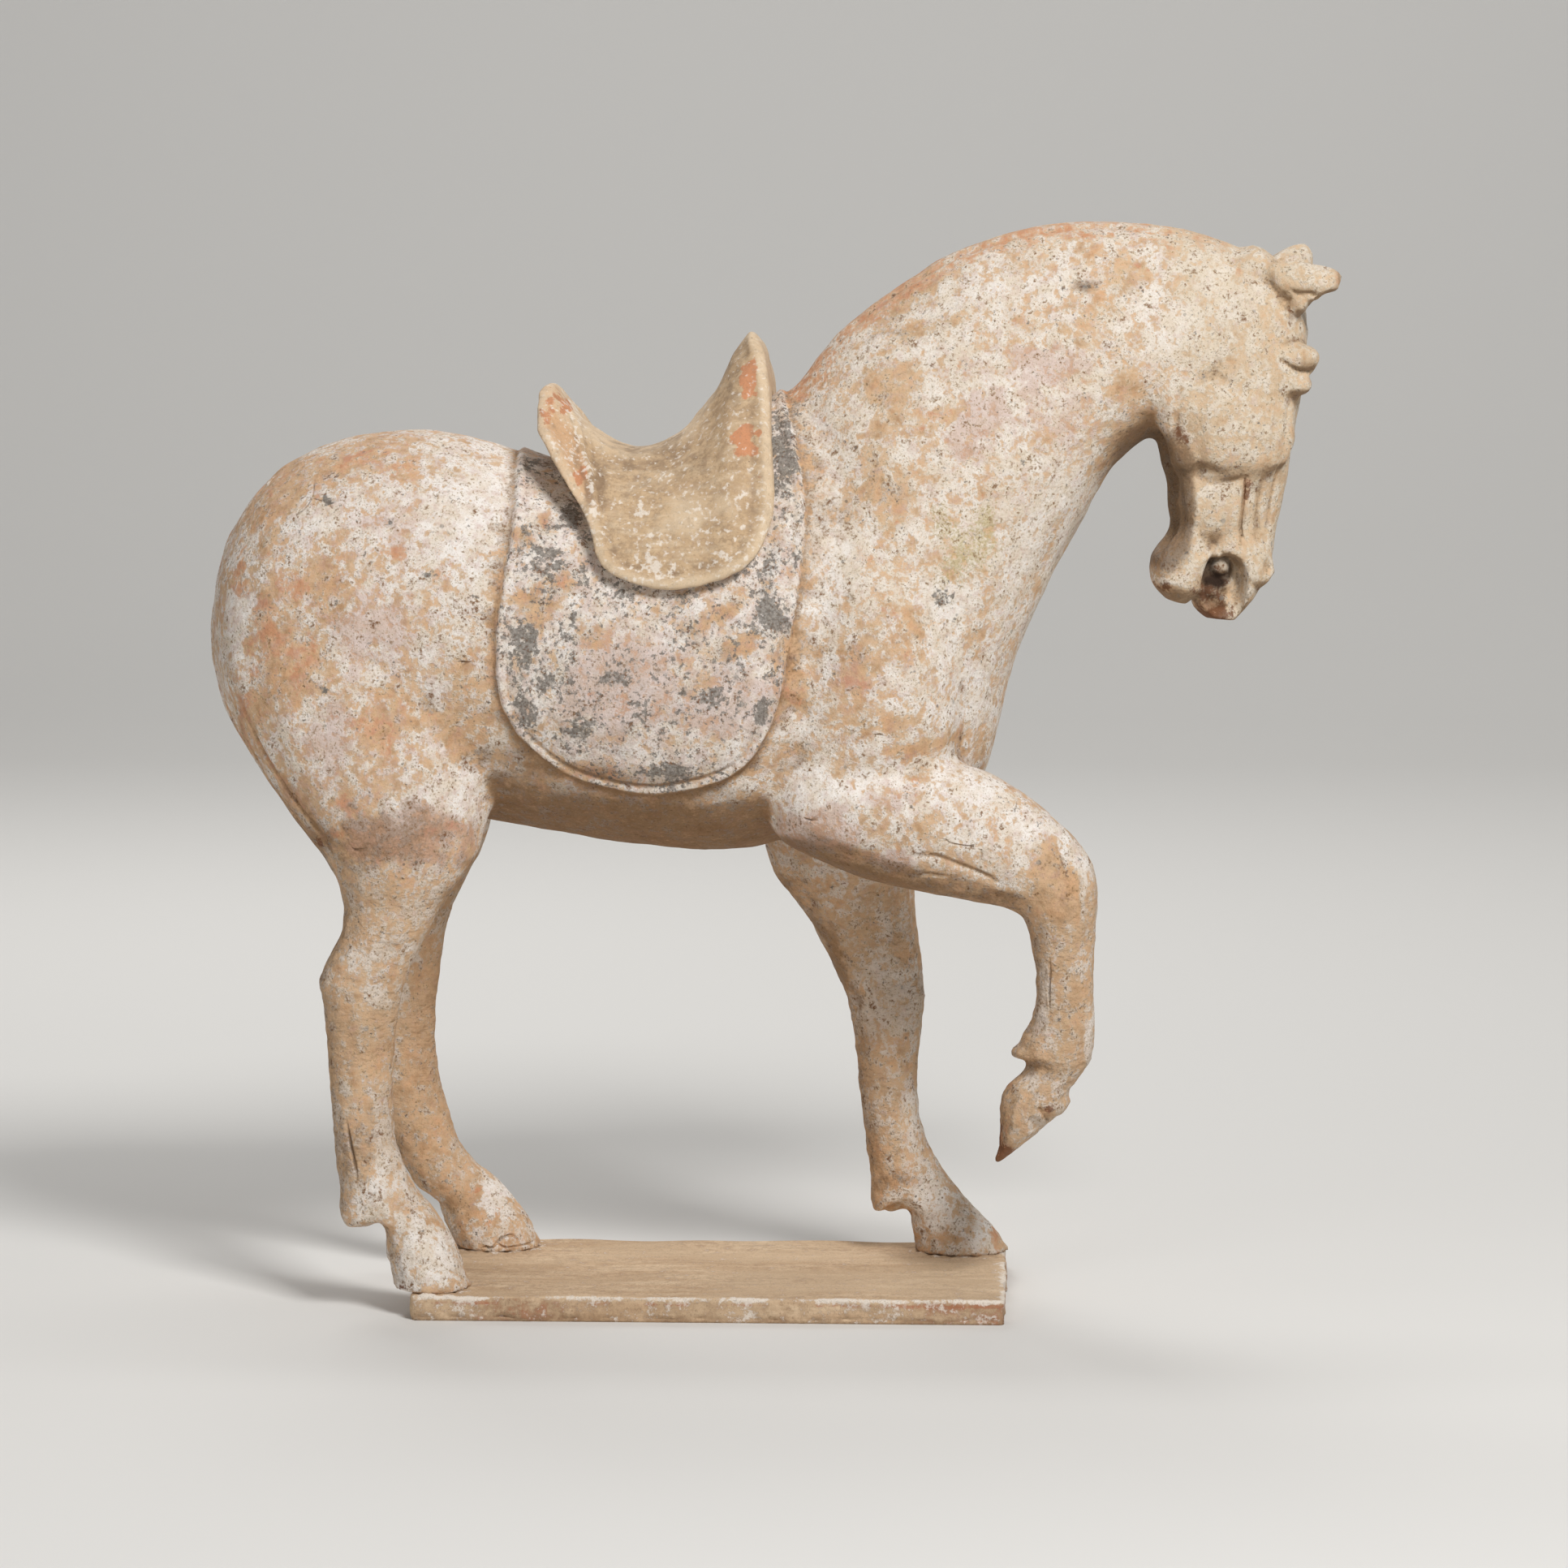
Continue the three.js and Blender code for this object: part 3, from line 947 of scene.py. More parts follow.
@dataclass(frozen=True)
class SlippedEarthenware:
    """Buff earthenware under a thin white slip, long buried: matt, chalky, flaking and stained."""

    clay: str = "cfac88"
    clay_warm: str = "d0a27a"
    clay_dark: str = "a4805c"
    veil: str = "dac6ae"
    slip: str = "eee8e2"
    slip_cream: str = "e0d3c3"
    cream: str = "d0bfa4"
    dust: str = "b29577"
    rust: str = "c58d69"
    rust_light: str = "d2a685"
    lilac: str = "b98f84"
    # Burial earth; the same colour is laid as painted shade in hollows, under the belly, on the jaw and
    # rear faces.
    earth: str = "80603f"
    umber: str = "6f3f22"
    lichen: str = "a8964c"
    soot: str = "8f8981"
    soot_dark: str = "55514c"
    speck: str = "6a6259"
    pore: str = "86694d"
    # The dark of cracks; the same colour is laid as painted shade in the mouth, on the jaw and under the
    # belly.
    gap_and_shade: str = "33241a"

    def material(self) -> bpy.types.Material:
        """Build the finish.

        Returns:
            The material.
        """
        coats = Coats("slipped_earthenware", self.clay)
        broad, middle = coats.noise(15, 5, 0.6), coats.noise(4.4, 5, 0.62, (1, 1, 1.2))
        small, fine, grit = coats.noise(2.1, 4, 0.6), coats.noise(1.1, 3, 0.6), coats.noise(0.55, 2, 0.6)
        coats.lay(self.clay_warm, coats.ragged(0.4, coats.noise(9, 5, 0.62), 3.4, 0.4), 0.75)
        coats.lay(self.clay_dark, coats.ragged(0.34, coats.noise(6, 6, 0.66), 2.8, 0.4), 0.75)
        rust = coats.math("SUBTRACT", coats.painted(Coat.RUST), 0.2)
        rust = coats.ragged(rust, coats.mixed((coats.noise(7, 5, 0.65), 0.8), (small, 0.5)), 3.0, 0.16)
        coats.lay(coats.blend(self.rust, self.rust_light, coats.ragged(0.5, middle, 4, 0.5)), rust, 0.85)
        cover = coats.mixed((broad, 0.35), (middle, 0.6), (small, 0.32), (fine, 0.2))
        slip = coats.painted(Coat.SLIP)
        thin = coats.ragged(coats.math("ADD", slip, 0.15), cover, 3.2, 0.45)
        thick = coats.ragged(slip, cover, 4.6, 0.2)
        coats.lay(self.veil, thin, 0.66)
        cream = coats.ragged(0.42, coats.noise(8, 5, 0.6), 3.6, 0.5)
        coats.lay(coats.blend(self.slip, self.slip_cream, cream), thick, 0.93)
        coats.lay(self.cream, coats.zone(Coat.CREAM, cover, 2.8, 0.5), 0.55)
        coats.lay(self.dust, coats.zone(Coat.CRUST, cover, 2.2, 0.5), 0.45)
        lilac = coats.mixed((coats.noise(5.5, 5, 0.66), 0.8), (small, 0.5))
        coats.lay(self.lilac, coats.zone(Coat.LILAC, lilac, 3.0, 0.4), 0.42)
        lichen = coats.mixed((middle, 0.5), (fine, 0.9))
        coats.lay(self.lichen, coats.zone(Coat.LICHEN, lichen, 3.4, 0.4), 0.5)
        # Burial earth, and painted shade where the earth coat marks hollows, belly, jaw and faces turned
        # back.
        dirt_and_shade = coats.math("SUBTRACT", coats.painted(Coat.EARTH_AND_SHADE), 0.1)
        coats.lay(self.earth, coats.ragged(dirt_and_shade, coats.mixed((middle, 0.8), (fine, 0.4)), 2.4, 0.4), 0.65)
        flecks = coats.mixed((coats.noise(2.3, 4, 0.68), 0.9), (broad, 0.3))
        smear = coats.mixed((middle, 0.7), (small, 0.4))
        coats.lay(self.soot, coats.zone(Coat.SOOT, smear, 2.4, 0.45), 0.4)
        soot = coats.zone(Coat.SOOT, flecks, 3.2, 0.12)
        coats.lay(coats.blend(self.soot, self.soot_dark, coats.ragged(0.5, fine, 3, 0.5)), soot, 0.85)
        stain = coats.mixed((middle, 0.7), (fine, 0.6))
        coats.lay(self.umber, coats.zone(Coat.UMBER, stain, 3.4, 0.3), 0.8)
        coats.lay(self.pore, coats.ragged(0.24, coats.mixed((grit, 0.8), (fine, 0.6)), 1.9, 0.2), 0.28)
        crowd = coats.ragged(0.5, coats.noise(24, 3, 0.5), 3.5, 0.4)
        coats.lay(self.speck, coats.math("MULTIPLY", coats.specks(4.6, 0.4, 0.18), crowd), 0.65)
        coats.lay(self.soot, coats.specks(11, 0.35, 0.12), 0.6)
        # The dark of cracks, and painted shade in the mouth, on the jaw and under the belly.
        coats.lay(self.gap_and_shade, coats.painted(Coat.GAP_AND_SHADE))
        folds = coats.noise(2.4, 3, 0.5, (1.3, 1.3, 0.75))
        coats.raise_by(coats.math("MULTIPLY", folds, coats.painted(Coat.CRUST)), 1.1)
        coats.raise_by(coats.noise(6, 3, 0.5), 0.6)
        coats.raise_by(small, 0.55)
        coats.raise_by(grit, 0.09)
        coats.raise_by(thick, 0.08)
        return coats.finish(0.9, 0.28)


@dataclass(frozen=True)
class SaddleOchre:
    """Earthenware under worn yellow-brown pigment, with flakes of white slip: dry and dusty."""

    ground: str = "c6aa88"
    shade: str = "a98a67"
    light: str = "dfc9ab"
    bare: str = "cfa57e"
    flake: str = "ebe2d6"
    rust: str = "ca8a63"
    # Earth; the same colour is laid as painted shade in hollows, under the cantle and by the pommel.
    earth: str = "7d6650"
    pore: str = "866d55"

    def material(self) -> bpy.types.Material:
        """Build the finish.

        Returns:
            The material.
        """
        coats = Coats("ochre_pigment_on_earthenware", self.ground)
        broad, middle = coats.noise(13, 5, 0.6), coats.noise(4, 5, 0.65)
        fine, grit = coats.noise(1.3, 3, 0.6), coats.noise(0.55, 2, 0.6)
        cover = coats.mixed((broad, 0.5), (middle, 0.5), (fine, 0.25))
        coats.lay(self.shade, coats.ragged(0.46, cover, 3.6, 0.45), 0.75)
        coats.lay(self.earth, coats.ragged(0.3, coats.mixed((middle, 0.7), (fine, 0.5)), 3.0, 0.4), 0.3)
        wiped = coats.mixed((coats.noise(3.5, 5, 0.6, (4, 1, 1)), 0.8), (middle, 0.4))
        coats.lay(self.light, coats.ragged(0.26, wiped, 3.2, 0.35), 0.6)
        coats.lay(self.bare, coats.zone(Coat.SLIP, cover, 2.8, 0.3), 0.8)
        coats.lay(self.light, coats.zone(Coat.CREAM, cover, 2.0, 0.35), 0.8)
        coats.lay(self.rust, coats.zone(Coat.RUST, middle, 2.0, 0.12), 0.9)
        # Earth, and painted shade in the saddle's hollows, under the cantle and by the pommel.
        coats.lay(self.earth, coats.zone(Coat.EARTH_AND_SHADE, middle, 1.9, 0.5), 0.7)
        flakes = coats.mixed((coats.noise(2.2, 5, 0.62), 0.9), (broad, 0.3))
        coats.lay(self.flake, coats.zone(Coat.FLAKE, flakes, 3.4, 0.2), 0.7)
        coats.lay(self.pore, coats.ragged(0.26, coats.mixed((grit, 0.8), (fine, 0.6)), 1.8, 0.22), 0.4)
        coats.lay(self.earth, coats.specks(4, 0.2, 0.13), 0.7)
        coats.raise_by(coats.noise(2.6, 5, 0.6), 0.3)
        coats.raise_by(grit, 0.07)
        return coats.finish(0.88, 0.28)


@dataclass(frozen=True)
class SlabClay:
    """Coarse tan earthenware, wiped lengthwise while wet: matt, streaked and earth-stained."""

    ground: str = "c9ac8c"
    streak: str = "dbc3a4"
    shade: str = "ab8c6b"
    slip: str = "e6dccf"
    earth: str = "866448"
    rust: str = "a9694a"
    pore: str = "7d644b"

    def material(self) -> bpy.types.Material:
        """Build the finish.

        Returns:
            The material.
        """
        coats = Coats("wiped_earthenware_slab", self.ground)
        streaks, middle = coats.noise(5, 5, 0.6, (11, 1, 1)), coats.noise(5, 5, 0.65)
        fine, grit = coats.noise(1.3, 3, 0.6), coats.noise(0.55, 2, 0.6)
        coats.lay(self.streak, coats.ragged(0.45, streaks, 3.6, 0.45), 0.75)
        coats.lay(self.shade, coats.ragged(0.42, coats.noise(19, 6, 0.6, (2, 1, 1)), 3.6, 0.45), 0.75)
        coats.lay(self.shade, coats.ragged(0.36, coats.mixed((middle, 0.7), (fine, 0.5)), 3.0, 0.4), 0.5)
        coats.lay(self.streak, coats.ragged(0.4, coats.noise(38, 5, 0.6, (2, 1, 1)), 4.4, 0.4), 0.45)
        coats.lay(self.earth, coats.zone(Coat.EARTH_AND_SHADE, middle, 2.0, 0.45), 0.65)
        coats.lay(self.rust, coats.zone(Coat.RUST, middle, 2.0, 0.25), 0.7)
        edge = coats.mixed((middle, 0.8), (fine, 0.4))
        coats.lay(self.slip, coats.zone(Coat.SLIP, edge, 2.4, 0.18), 0.85)
        coats.lay(self.pore, coats.ragged(0.28, coats.mixed((grit, 0.8), (fine, 0.6)), 1.8, 0.22), 0.45)
        coats.raise_by(coats.noise(2.6, 5, 0.6), 0.3)
        coats.raise_by(streaks, 0.25)
        coats.raise_by(grit, 0.07)
        return coats.finish(0.9, 0.28)


@dataclass(frozen=True)
class Weathering:
    """Slip, stain and bare clay from centuries of burial on the seen side, and painted light and shade."""

    slip: tuple[Patch, ...] = (
        (-399, 754, 23, 26, 35, -0.35), (-418, 723, 17, 34, 30, -0.35), (-348, 651, 17, 27, 0, -0.4),
        (-384, 577, 21, 21, 0, -0.45), (-409, 615, 23, 34, 0, -0.4), (-226, 560, 20, 46, 0, -0.3),
        (-296, 562, 20, 14, 0, -0.35), (-330, 784, 38, 14, 15, -0.2), (-302, 529, 23, 18, 0, -0.4),
        (-430, 529, 12, 46, -28, -0.3), (-333, 423, 23, 15, 0, -0.3), (-437, 623, 16, 29, 0, 0.6),
        (-239, 712, 53, 47, 0, 0.3), (-310, 626, 31, 23, 0, 0.2), (-347, 521, 11, 34, -10, 0.25),
        (-256, 565, 12, 27, 0, 0.25), (-246, 465, 38, 20, 0, 0.3), (-202, 755, 31, 38, 0, 0.3),
        (-338, 717, 46, 20, 0, 0.15), (175, 933, 46, 20, 35, -0.4), (171, 845, 24, 26, 0, -0.6),
        (161, 755, 24, 27, 0, -0.4), (161, 720, 14, 10, 0, -0.4), (383, 944, 20, 18, 0, -0.45),
        (342, 903, 46, 11, 30, -0.25), (207, 903, 31, 8, 20, -0.3), (388, 843, 17, 23, 30, -0.35),
        (275, 866, 46, 6, 15, -0.2), (191, 629, 14, 14, 0, -0.4), (139, 599, 20, 12, 0, -0.5),
        (168, 535, 21, 11, 0, -0.4), (77, 589, 9, 27, 0, -0.45), (198, 512, 47, 6, 12, -0.6),
        (199, 446, 14, 14, 0, -0.4), (142, 553, 23, 23, 0, -0.2), (246, 606, 11, 23, 0, -0.2),
        (113, 700, 23, 76, 0, 0.3), (309, 723, 31, 61, -25, 0.25), (267, 851, 38, 31, 0, 0.2),
        (223, 647, 23, 17, 0, 0.3), (275, 941, 46, 15, 0, 0.2), (97, 470, 38, 31, 0, 0.3),
        (232, 474, 38, 20, -20, 0.25), (157, 485, 23, 15, 0, 0.3), (246, 553, 20, 31, 0, 0.25),
        (328, 433, 15, 10, -35, 0.8), (346, 384, 7, 31, 0, 0.5), (324, 386, 21, 38, 0, -0.7),
        (292, 437, 12, 12, 0, 0.4), (-307, 305, 34, 27, 0, 0.25), (-329, 228, 27, 46, 0, -0.2),
        (-304, 132, 11, 27, -10, 0.35), (-311, 91, 32, 21, 0, 0.3), (-270, 31, 32, 29, 0, 0.5),
        (-291, 4, 9, 9, 0, 0.8), (312, 278, 6, 40, 0, 0.45), (356, 238, 5, 32, 0, 0.5),
        (335, 271, 11, 46, 0, -0.2), (306, 160, 7, 10, 40, 0.6), (316, 560, 22, 62, -12, 0.25),
        (300, 200, 12, 5, 30, 0.3),
    )
    slip_on_head: tuple[Patch, ...] = (
        (411, 892, 21, 34, 20, 0.3), (470, 926, 21, 38, 0, 0.3), (541, 917, 11, 14, -60, 0.6),
        # Less slip on the jaw under the cheek: painted shade as well as earth.
        (422, 753, 14, 50, 0, -0.3),
    )
    slip_inside: tuple[Patch, ...] = (
        (-291, 154, 31, 92, 0, -0.2), (-222, 54, 14, 11, 0, 0.6), (-255, 40, 15, 20, 0, -0.4),
        (-283, 261, 15, 46, 0, -0.3), (162, 259, 34, 35, 0, 0.4), (184, 145, 7, 20, 0, 0.4),
        # (256, 28) lightens the standing hoof: painted light where the raised foreleg's shadow falls.
        (256, 28, 22, 24, 0, 0.8), (205, 45, 30, 20, 30, 0.3), (152, 89, 27, 23, 0, -0.05),
        (137, 168, 15, 38, 0, -0.1),
    )
    slip_on_cloth: tuple[Patch, ...] = (
        (-171, 709, 12, 10, 0, -0.7), (-154, 725, 5, 14, 0, -0.5), (-159, 647, 18, 15, 20, -0.8),
        (7, 634, 32, 8, 25, -0.9), (36, 613, 24, 8, 28, -0.8), (-105, 613, 15, 11, 0, -0.4),
        (-53, 546, 12, 9, 0, -0.4), (-135, 665, 18, 8, 0, -0.5), (71, 591, 11, 34, 0, -0.6),
        (101, 636, 8, 11, 0, -0.5), (-112, 493, 26, 9, -15, -0.5), (-8, 583, 23, 15, 0, -0.3),
    )
    rust: tuple[Patch, ...] = (
        (-439, 670, 7, 23, 0, 1), (-382, 662, 17, 11, 0, 0.7), (-409, 615, 15, 23, 0, 0.7),
        (-374, 589, 7, 31, -15, 0.9), (-298, 696, 20, 6, -15, 1), (-244, 677, 7, 9, 0, 1),
        (-334, 778, 15, 6, 20, 0.8), (-288, 773, 15, 5, 5, 1), (-229, 653, 8, 7, 0, 0.7),
        (-238, 637, 4, 5, 0, 1), (-315, 537, 15, 10, 0, 0.7), (-297, 513, 5, 12, -20, 0.7),
        (-236, 439, 8, 5, 0, 1), (-346, 433, 7, 6, 0, 0.9), (-261, 431, 9, 4, 0, 1),
        (-333, 457, 20, 6, -10, 0.8), (-295, 414, 19, 5, 10, 0.7), (-430, 559, 5, 38, -25, 0.6),
        (286, 912, 7, 7, 0, 1), (279, 896, 7, 4, 10, 1), (247, 945, 7, 5, 0, 1), (400, 956, 7, 4, -10, 1),
        (428, 973, 5, 8, 0, 0.8), (229, 863, 4, 8, 0, 1), (219, 854, 5, 7, 0, 1), (211, 819, 15, 5, 5, 1),
        (197, 809, 3, 5, 0, 1), (244, 786, 8, 10, 0, 0.6), (358, 867, 4, 8, -20, 0.8),
        (348, 852, 4, 4, 0, 1), (314, 764, 2, 5, 20, 0.7), (322, 920, 6, 3, 10, 1),
        (165, 641, 7, 10, 0, 0.8), (197, 624, 5, 6, 0, 0.7), (190, 600, 11, 5, 8, 0.7),
        (132, 575, 19, 9, 15, 0.95), (191, 476, 14, 8, 0, 0.7), (77, 559, 8, 8, 0, 0.9),
        (99, 453, 6, 6, 0, 0.7), (-154, 720, 4, 11, 0, 0.8), (-131, 669, 9, 8, 0, 0.9),
        (-90, 558, 23, 10, -20, 0.9), (-36, 518, 8, 7, 0, 1), (-96, 492, 23, 9, -15, 1),
        (-34, 577, 5, 8, 0, 0.8), (-152, 629, 8, 7, 0, 0.5), (-119, 527, 11, 6, 0, 0.6),
        (273, 150, 6, 23, 0, 1), (275, 128, 8, 12, 0, 1), (316, 172, 4, 4, 0, 1),
        (279, 193, 6, 5, 30, 0.9), (150, 690, 6, 9, 0, 0.9), (252, 742, 4, 7, 0, 1),
        (176, 720, 5, 4, 0, 0.9), (296, 668, 4, 9, 0, 0.8), (228, 585, 7, 4, 0, 0.9),
        (118, 640, 4, 9, 0, 0.8),
    )
    rust_on_head: tuple[Patch, ...] = (
        (478, 950, 8, 6, 0, 0.9), (515, 892, 8, 5, 0, 0.7), (485, 752, 6, 16, 0, 0.7),
        (459, 635, 14, 11, 0, 1), (405, 655, 12, 11, 0, 0.6), (571, 947, 4, 9, 0, 0.9),
    )
    rust_inside: tuple[Patch, ...] = (
        (-240, 61, 6, 4, 0, 1), (-220, 42, 4, 6, 0, 1), (-228, 27, 7, 5, 0, 0.9),
        (271, 20, 8, 9, 0, 0.9), (269, 3, 5, 17, 0, 0.6),
    )
    lilac: tuple[Patch, ...] = (
        (-310, 626, 31, 26, 0, 0.8), (-347, 525, 15, 34, -10, 0.7), (-280, 431, 57, 27, 0, 0.9),
        (-300, 724, 31, 15, 0, 0.4), (308, 866, 31, 21, 0, 0.8), (254, 816, 20, 31, 0, 0.9),
        (320, 813, 38, 23, 0, 0.4), (98, 435, 37, 18, 0, 1), (171, 408, 21, 8, 0, 0.7),
        (164, 467, 31, 9, 0, 0.4), (132, 575, 26, 17, 0, 0.4), (-79, 568, 46, 40, 0, 0.8),
        (22, 553, 46, 31, 0, 0.5),
    )
    earth: tuple[Patch, ...] = (
        (348, 941, 12, 8, 0, 0.8), (173, 897, 21, 7, 0, 0.6), (161, 755, 21, 23, 0, 0.35),
        (147, 888, 8, 6, 0, 0.6), (-153, 778, 26, 15, -10, 0.5), (-330, 130, 14, 40, 0, 0.35),
        # (-295, 428) on the lower thigh is earth and painted shade; (-133, 784) is painted shade in the
        # hollow under the cantle.
        (-295, 428, 62, 34, 0, 0.5), (324, 386, 18, 34, 0, 0.3), (-133, 784, 13, 30, 10, 0.7),
        (312, 212, 22, 7, -20, 0.5), (-363, 423, 5, 7, -30, 0.9),
    )
    earth_and_shade_on_head: tuple[Patch, ...] = (
        # The first two rows, on the jaw under the cheek, are earth and painted shade; the third darkens the
        # mouth's inside with painted shade.
        (418, 740, 12, 50, 0, 0.5), (400, 745, 12, 60, 0, 0.3), (462, 655, 14, 20, 0, 0.7),
        (459, 634, 14, 9, 0, 0.5), (405, 655, 10, 10, 0, 0.5), (484, 728, 3, 30, 0, 0.5),
        (571, 947, 3, 8, 0, 0.6),
    )
    umber: tuple[Patch, ...] = (
        (276, 126, 8, 14, -12, 1.3), (270, 148, 4, 18, 0, 0.9), (316, 173, 4, 4, 0, 0.8),
        (-363, 423, 4, 6, -30, 0.8), (-295, 3, 10, 4, 0, 0.7),
    )
    umber_on_head: tuple[Patch, ...] = (
        (462, 630, 17, 8, 0, 1.1), (404, 652, 15, 11, 0, 1.2), (462, 655, 15, 18, 0, 0.55),
        (487, 752, 4, 13, 0, 0.7), (425, 800, 5, 12, 0, 0.5), (398, 690, 8, 12, 0, 0.35),
    )
    earth_inside: tuple[Patch, ...] = ((111, 295, 11, 46, 20, 0.6), (172, 74, 20, 9, 0, 0.5))
    lichen: tuple[Patch, ...] = (
        (238, 708, 26, 23, 0, 0.55), (227, 682, 23, 17, 0, 0.6), (260, 723, 11, 15, 0, 0.6),
    )
    soot: tuple[Patch, ...] = (
        # Painted shade in the hollow under the cantle.
        (-133, 780, 11, 30, 10, 0.35),
        (-164, 620, 12, 15, 0, 0.4), (-165, 598, 5, 9, 0, 0.4), (-152, 694, 15, 3, -10, 0.8),
        (-136, 684, 3, 9, -20, 0.8), (57, 669, 8, 32, -8, 0.42), (63, 632, 12, 14, 0, 0.42),
        (4, 561, 8, 8, 0, 0.6), (-19, 568, 7, 5, 0, 0.6), (52, 546, 5, 12, 0, 0.6),
        (-83, 577, 9, 5, 25, 0.5), (-162, 545, 12, 15, 0, 0.4), (-124, 527, 14, 11, 0, 0.4),
        (-30, 493, 23, 6, 0, 0.4), (-173, 583, 8, 23, 0, 0.3), (-150, 572, 8, 6, 0, 0.6),
        (-123, 635, 5, 4, 0, 0.7), (-80, 656, 5, 4, 0, 0.6), (-21, 649, 4, 5, 0, 0.7),
        (-115, 680, 5, 5, 0, 0.6), (73, 807, 17, 46, 0, 0.22), (67, 762, 8, 31, 0, 0.3),
        (-129, 724, 9, 9, 0, 0.6), (-169, 716, 5, 5, 0, 0.5), (348, 941, 7, 5, 0, 0.7),
        (-358, 738, 4, 4, 0, 0.8), (-354, 565, 4, 4, 0, 0.9),
        (-294, 722, 3, 3, 0, 0.9), (-258, 671, 3, 3, 0, 0.9), (-246, 728, 2, 2, 0, 0.9),
        (-229, 701, 3, 3, 0, 0.8), (222, 651, 9, 10, 0, 0.5),
    )


@dataclass(frozen=True)
class Zones:
    """The regions of the horse's skin, one number for each point and mostly from 0 to 1.

    x and z are places in shares, and turned holds x, y and z in the head's own coordinates. seam
    runs along the cloth's edge, strand is the tail and hair its waves, from -1 to 1.
    """

    x: np.ndarray
    z: np.ndarray
    turned: np.ndarray
    on_cloth: np.ndarray
    seam: np.ndarray
    limb: np.ndarray
    belly: np.ndarray
    rump: np.ndarray
    face: np.ndarray
    jaw: np.ndarray
    hollow: np.ndarray
    mane: np.ndarray
    strand: np.ndarray
    hair: np.ndarray
    parting: np.ndarray


@dataclass
class Horse:
    """The figure, with the cloth, mane and tail modelled on it."""

    grain: float = 1.2 * MM
    triangles: int = 160_000
    cloth_thickness: float = 2.4
    cloth_edge: Points = (
        (-187, 790), (-183, 720), (-196, 613), (-186, 541), (-137, 490), (-56, 469),
        (22, 487), (59, 535), (79, 628), (89, 739), (64, 850),
    )
    cloth_top: Points = ((66, 930), (-180, 930))
    crest: Points = (
        (78, 844), (126, 904), (186, 950), (242, 979), (313, 998), (382, 1000), (440, 993), (478, 981),
    )
    mane_edge: Points = (
        (80, 849), (115, 884), (168, 931), (229, 965), (290, 986), (358, 994), (426, 986), (475, 978),
    )
    tail: Points = (
        (-434, 738), (-463, 698), (-481, 640), (-481, 586), (-465, 528), (-430, 470), (-398, 440),
    )
    partings: tuple[Stroke, ...] = (
        Stroke(((-443, 573), (-437, 550), (-418, 508), (-389, 463), (-361, 428), (-344, 394)), 0.8, -1.3),
        Stroke(((-450, 579), (-450, 558), (-437, 517), (-415, 474), (-383, 436), (-369, 419)), 0.7, -1.0),
        Stroke(((-460, 569), (-459, 550), (-445, 510), (-420, 467), (-387, 428), (-361, 391)), 0.7, -1.0),
        Stroke(((-407, 500), (-383, 461), (-358, 437)), 0.6, -0.6),
        Stroke(((-470, 564), (-465, 538), (-446, 494), (-432, 473)), 0.7, -0.8),
    )
    wads: tuple[Wad, ...] = (
        Wad((430, -27, 840), (30, 20, 36)), Wad((423, -20, 812), (17, 18, 20)),
        Wad((446, -29, 876), (34, 19.5, 32)), Wad((432, -24, 786), (16, 19, 24)),
        Wad((534, -50, 873), (20, 17, 13)), Wad((534, 50, 873), (20, 17, 13)),
        Wad((534, -48, 847), (14, 15.5, 11)), Wad((534, 48, 847), (14, 15.5, 11)),
        Wad((472, -17, 738), (46, 26, 42)), Wad((472, 17, 738), (46, 26, 42)),
        Wad((534, -47, 925), (10, 15, 15)), Wad((500, -12, 958), (20, 28, 15)),
        Wad((470, -17, 677), (9, 8, 9)), Wad((476, -17, 661), (5, 5, 6)), Wad((461, -17, 655), (6, 5, 7)),
        Wad((471, -16, 645), (7, 5, 5)),
    )
    cracks: tuple[Stroke, ...] = (
        Stroke(((-341, 165), (-338, 147), (-334, 128), (-331, 113), (-330, 98)), 0.6, -1.3, fade=0.4),
        Stroke(((317, 323), (318, 301), (317, 282), (318, 262)), 0.45, -1.0, fade=0.4),
        Stroke(
            ((-234, 5), (-225, 4), (-219, 9), (-212, 14), (-204, 15), (-197, 9)),
            0.5, -1.2, fade=0.05, past=5,
        ),
        Stroke(((-219, 9), (-211, 4), (-200, 5), (-187, 6), (-178, 11)), 0.4, -1.0, fade=0.05, past=5),
        Stroke(((284, 467), (286, 460), (283, 451)), 0.35, -0.6, fade=0.1),
        Stroke(((253, 421), (254, 414), (252, 407)), 0.35, -0.6, fade=0.1),
        Stroke(((219, 433), (224, 426), (238, 423), (247, 422)), 0.3, -0.5, fade=0.1),
        Stroke(((-372, 762), (-371, 745), (-378, 732), (-391, 724)), 0.3, -0.35, fade=0.1),
        Stroke(((-371, 742), (-357, 738), (-350, 732)), 0.3, -0.3, fade=0.1),
        Stroke(((-230, 595), (-223, 592), (-218, 595)), 0.45, -0.7, fade=0.1),
        Stroke(((-333, 417), (-325, 416), (-316, 418)), 0.5, -0.7, fade=0.1),
        Stroke(((87, 447), (102, 445)), 0.4, -0.6, fade=0.1),
        Stroke(((156, 527), (163, 525)), 0.4, -0.6, fade=0.1),
        Stroke(((484, 762), (485, 742), (483, 722), (485, 704)), 0.45, -0.9, space=Space.HEAD, fade=0.1),
    )
    weathering: Weathering = field(default_factory=Weathering)

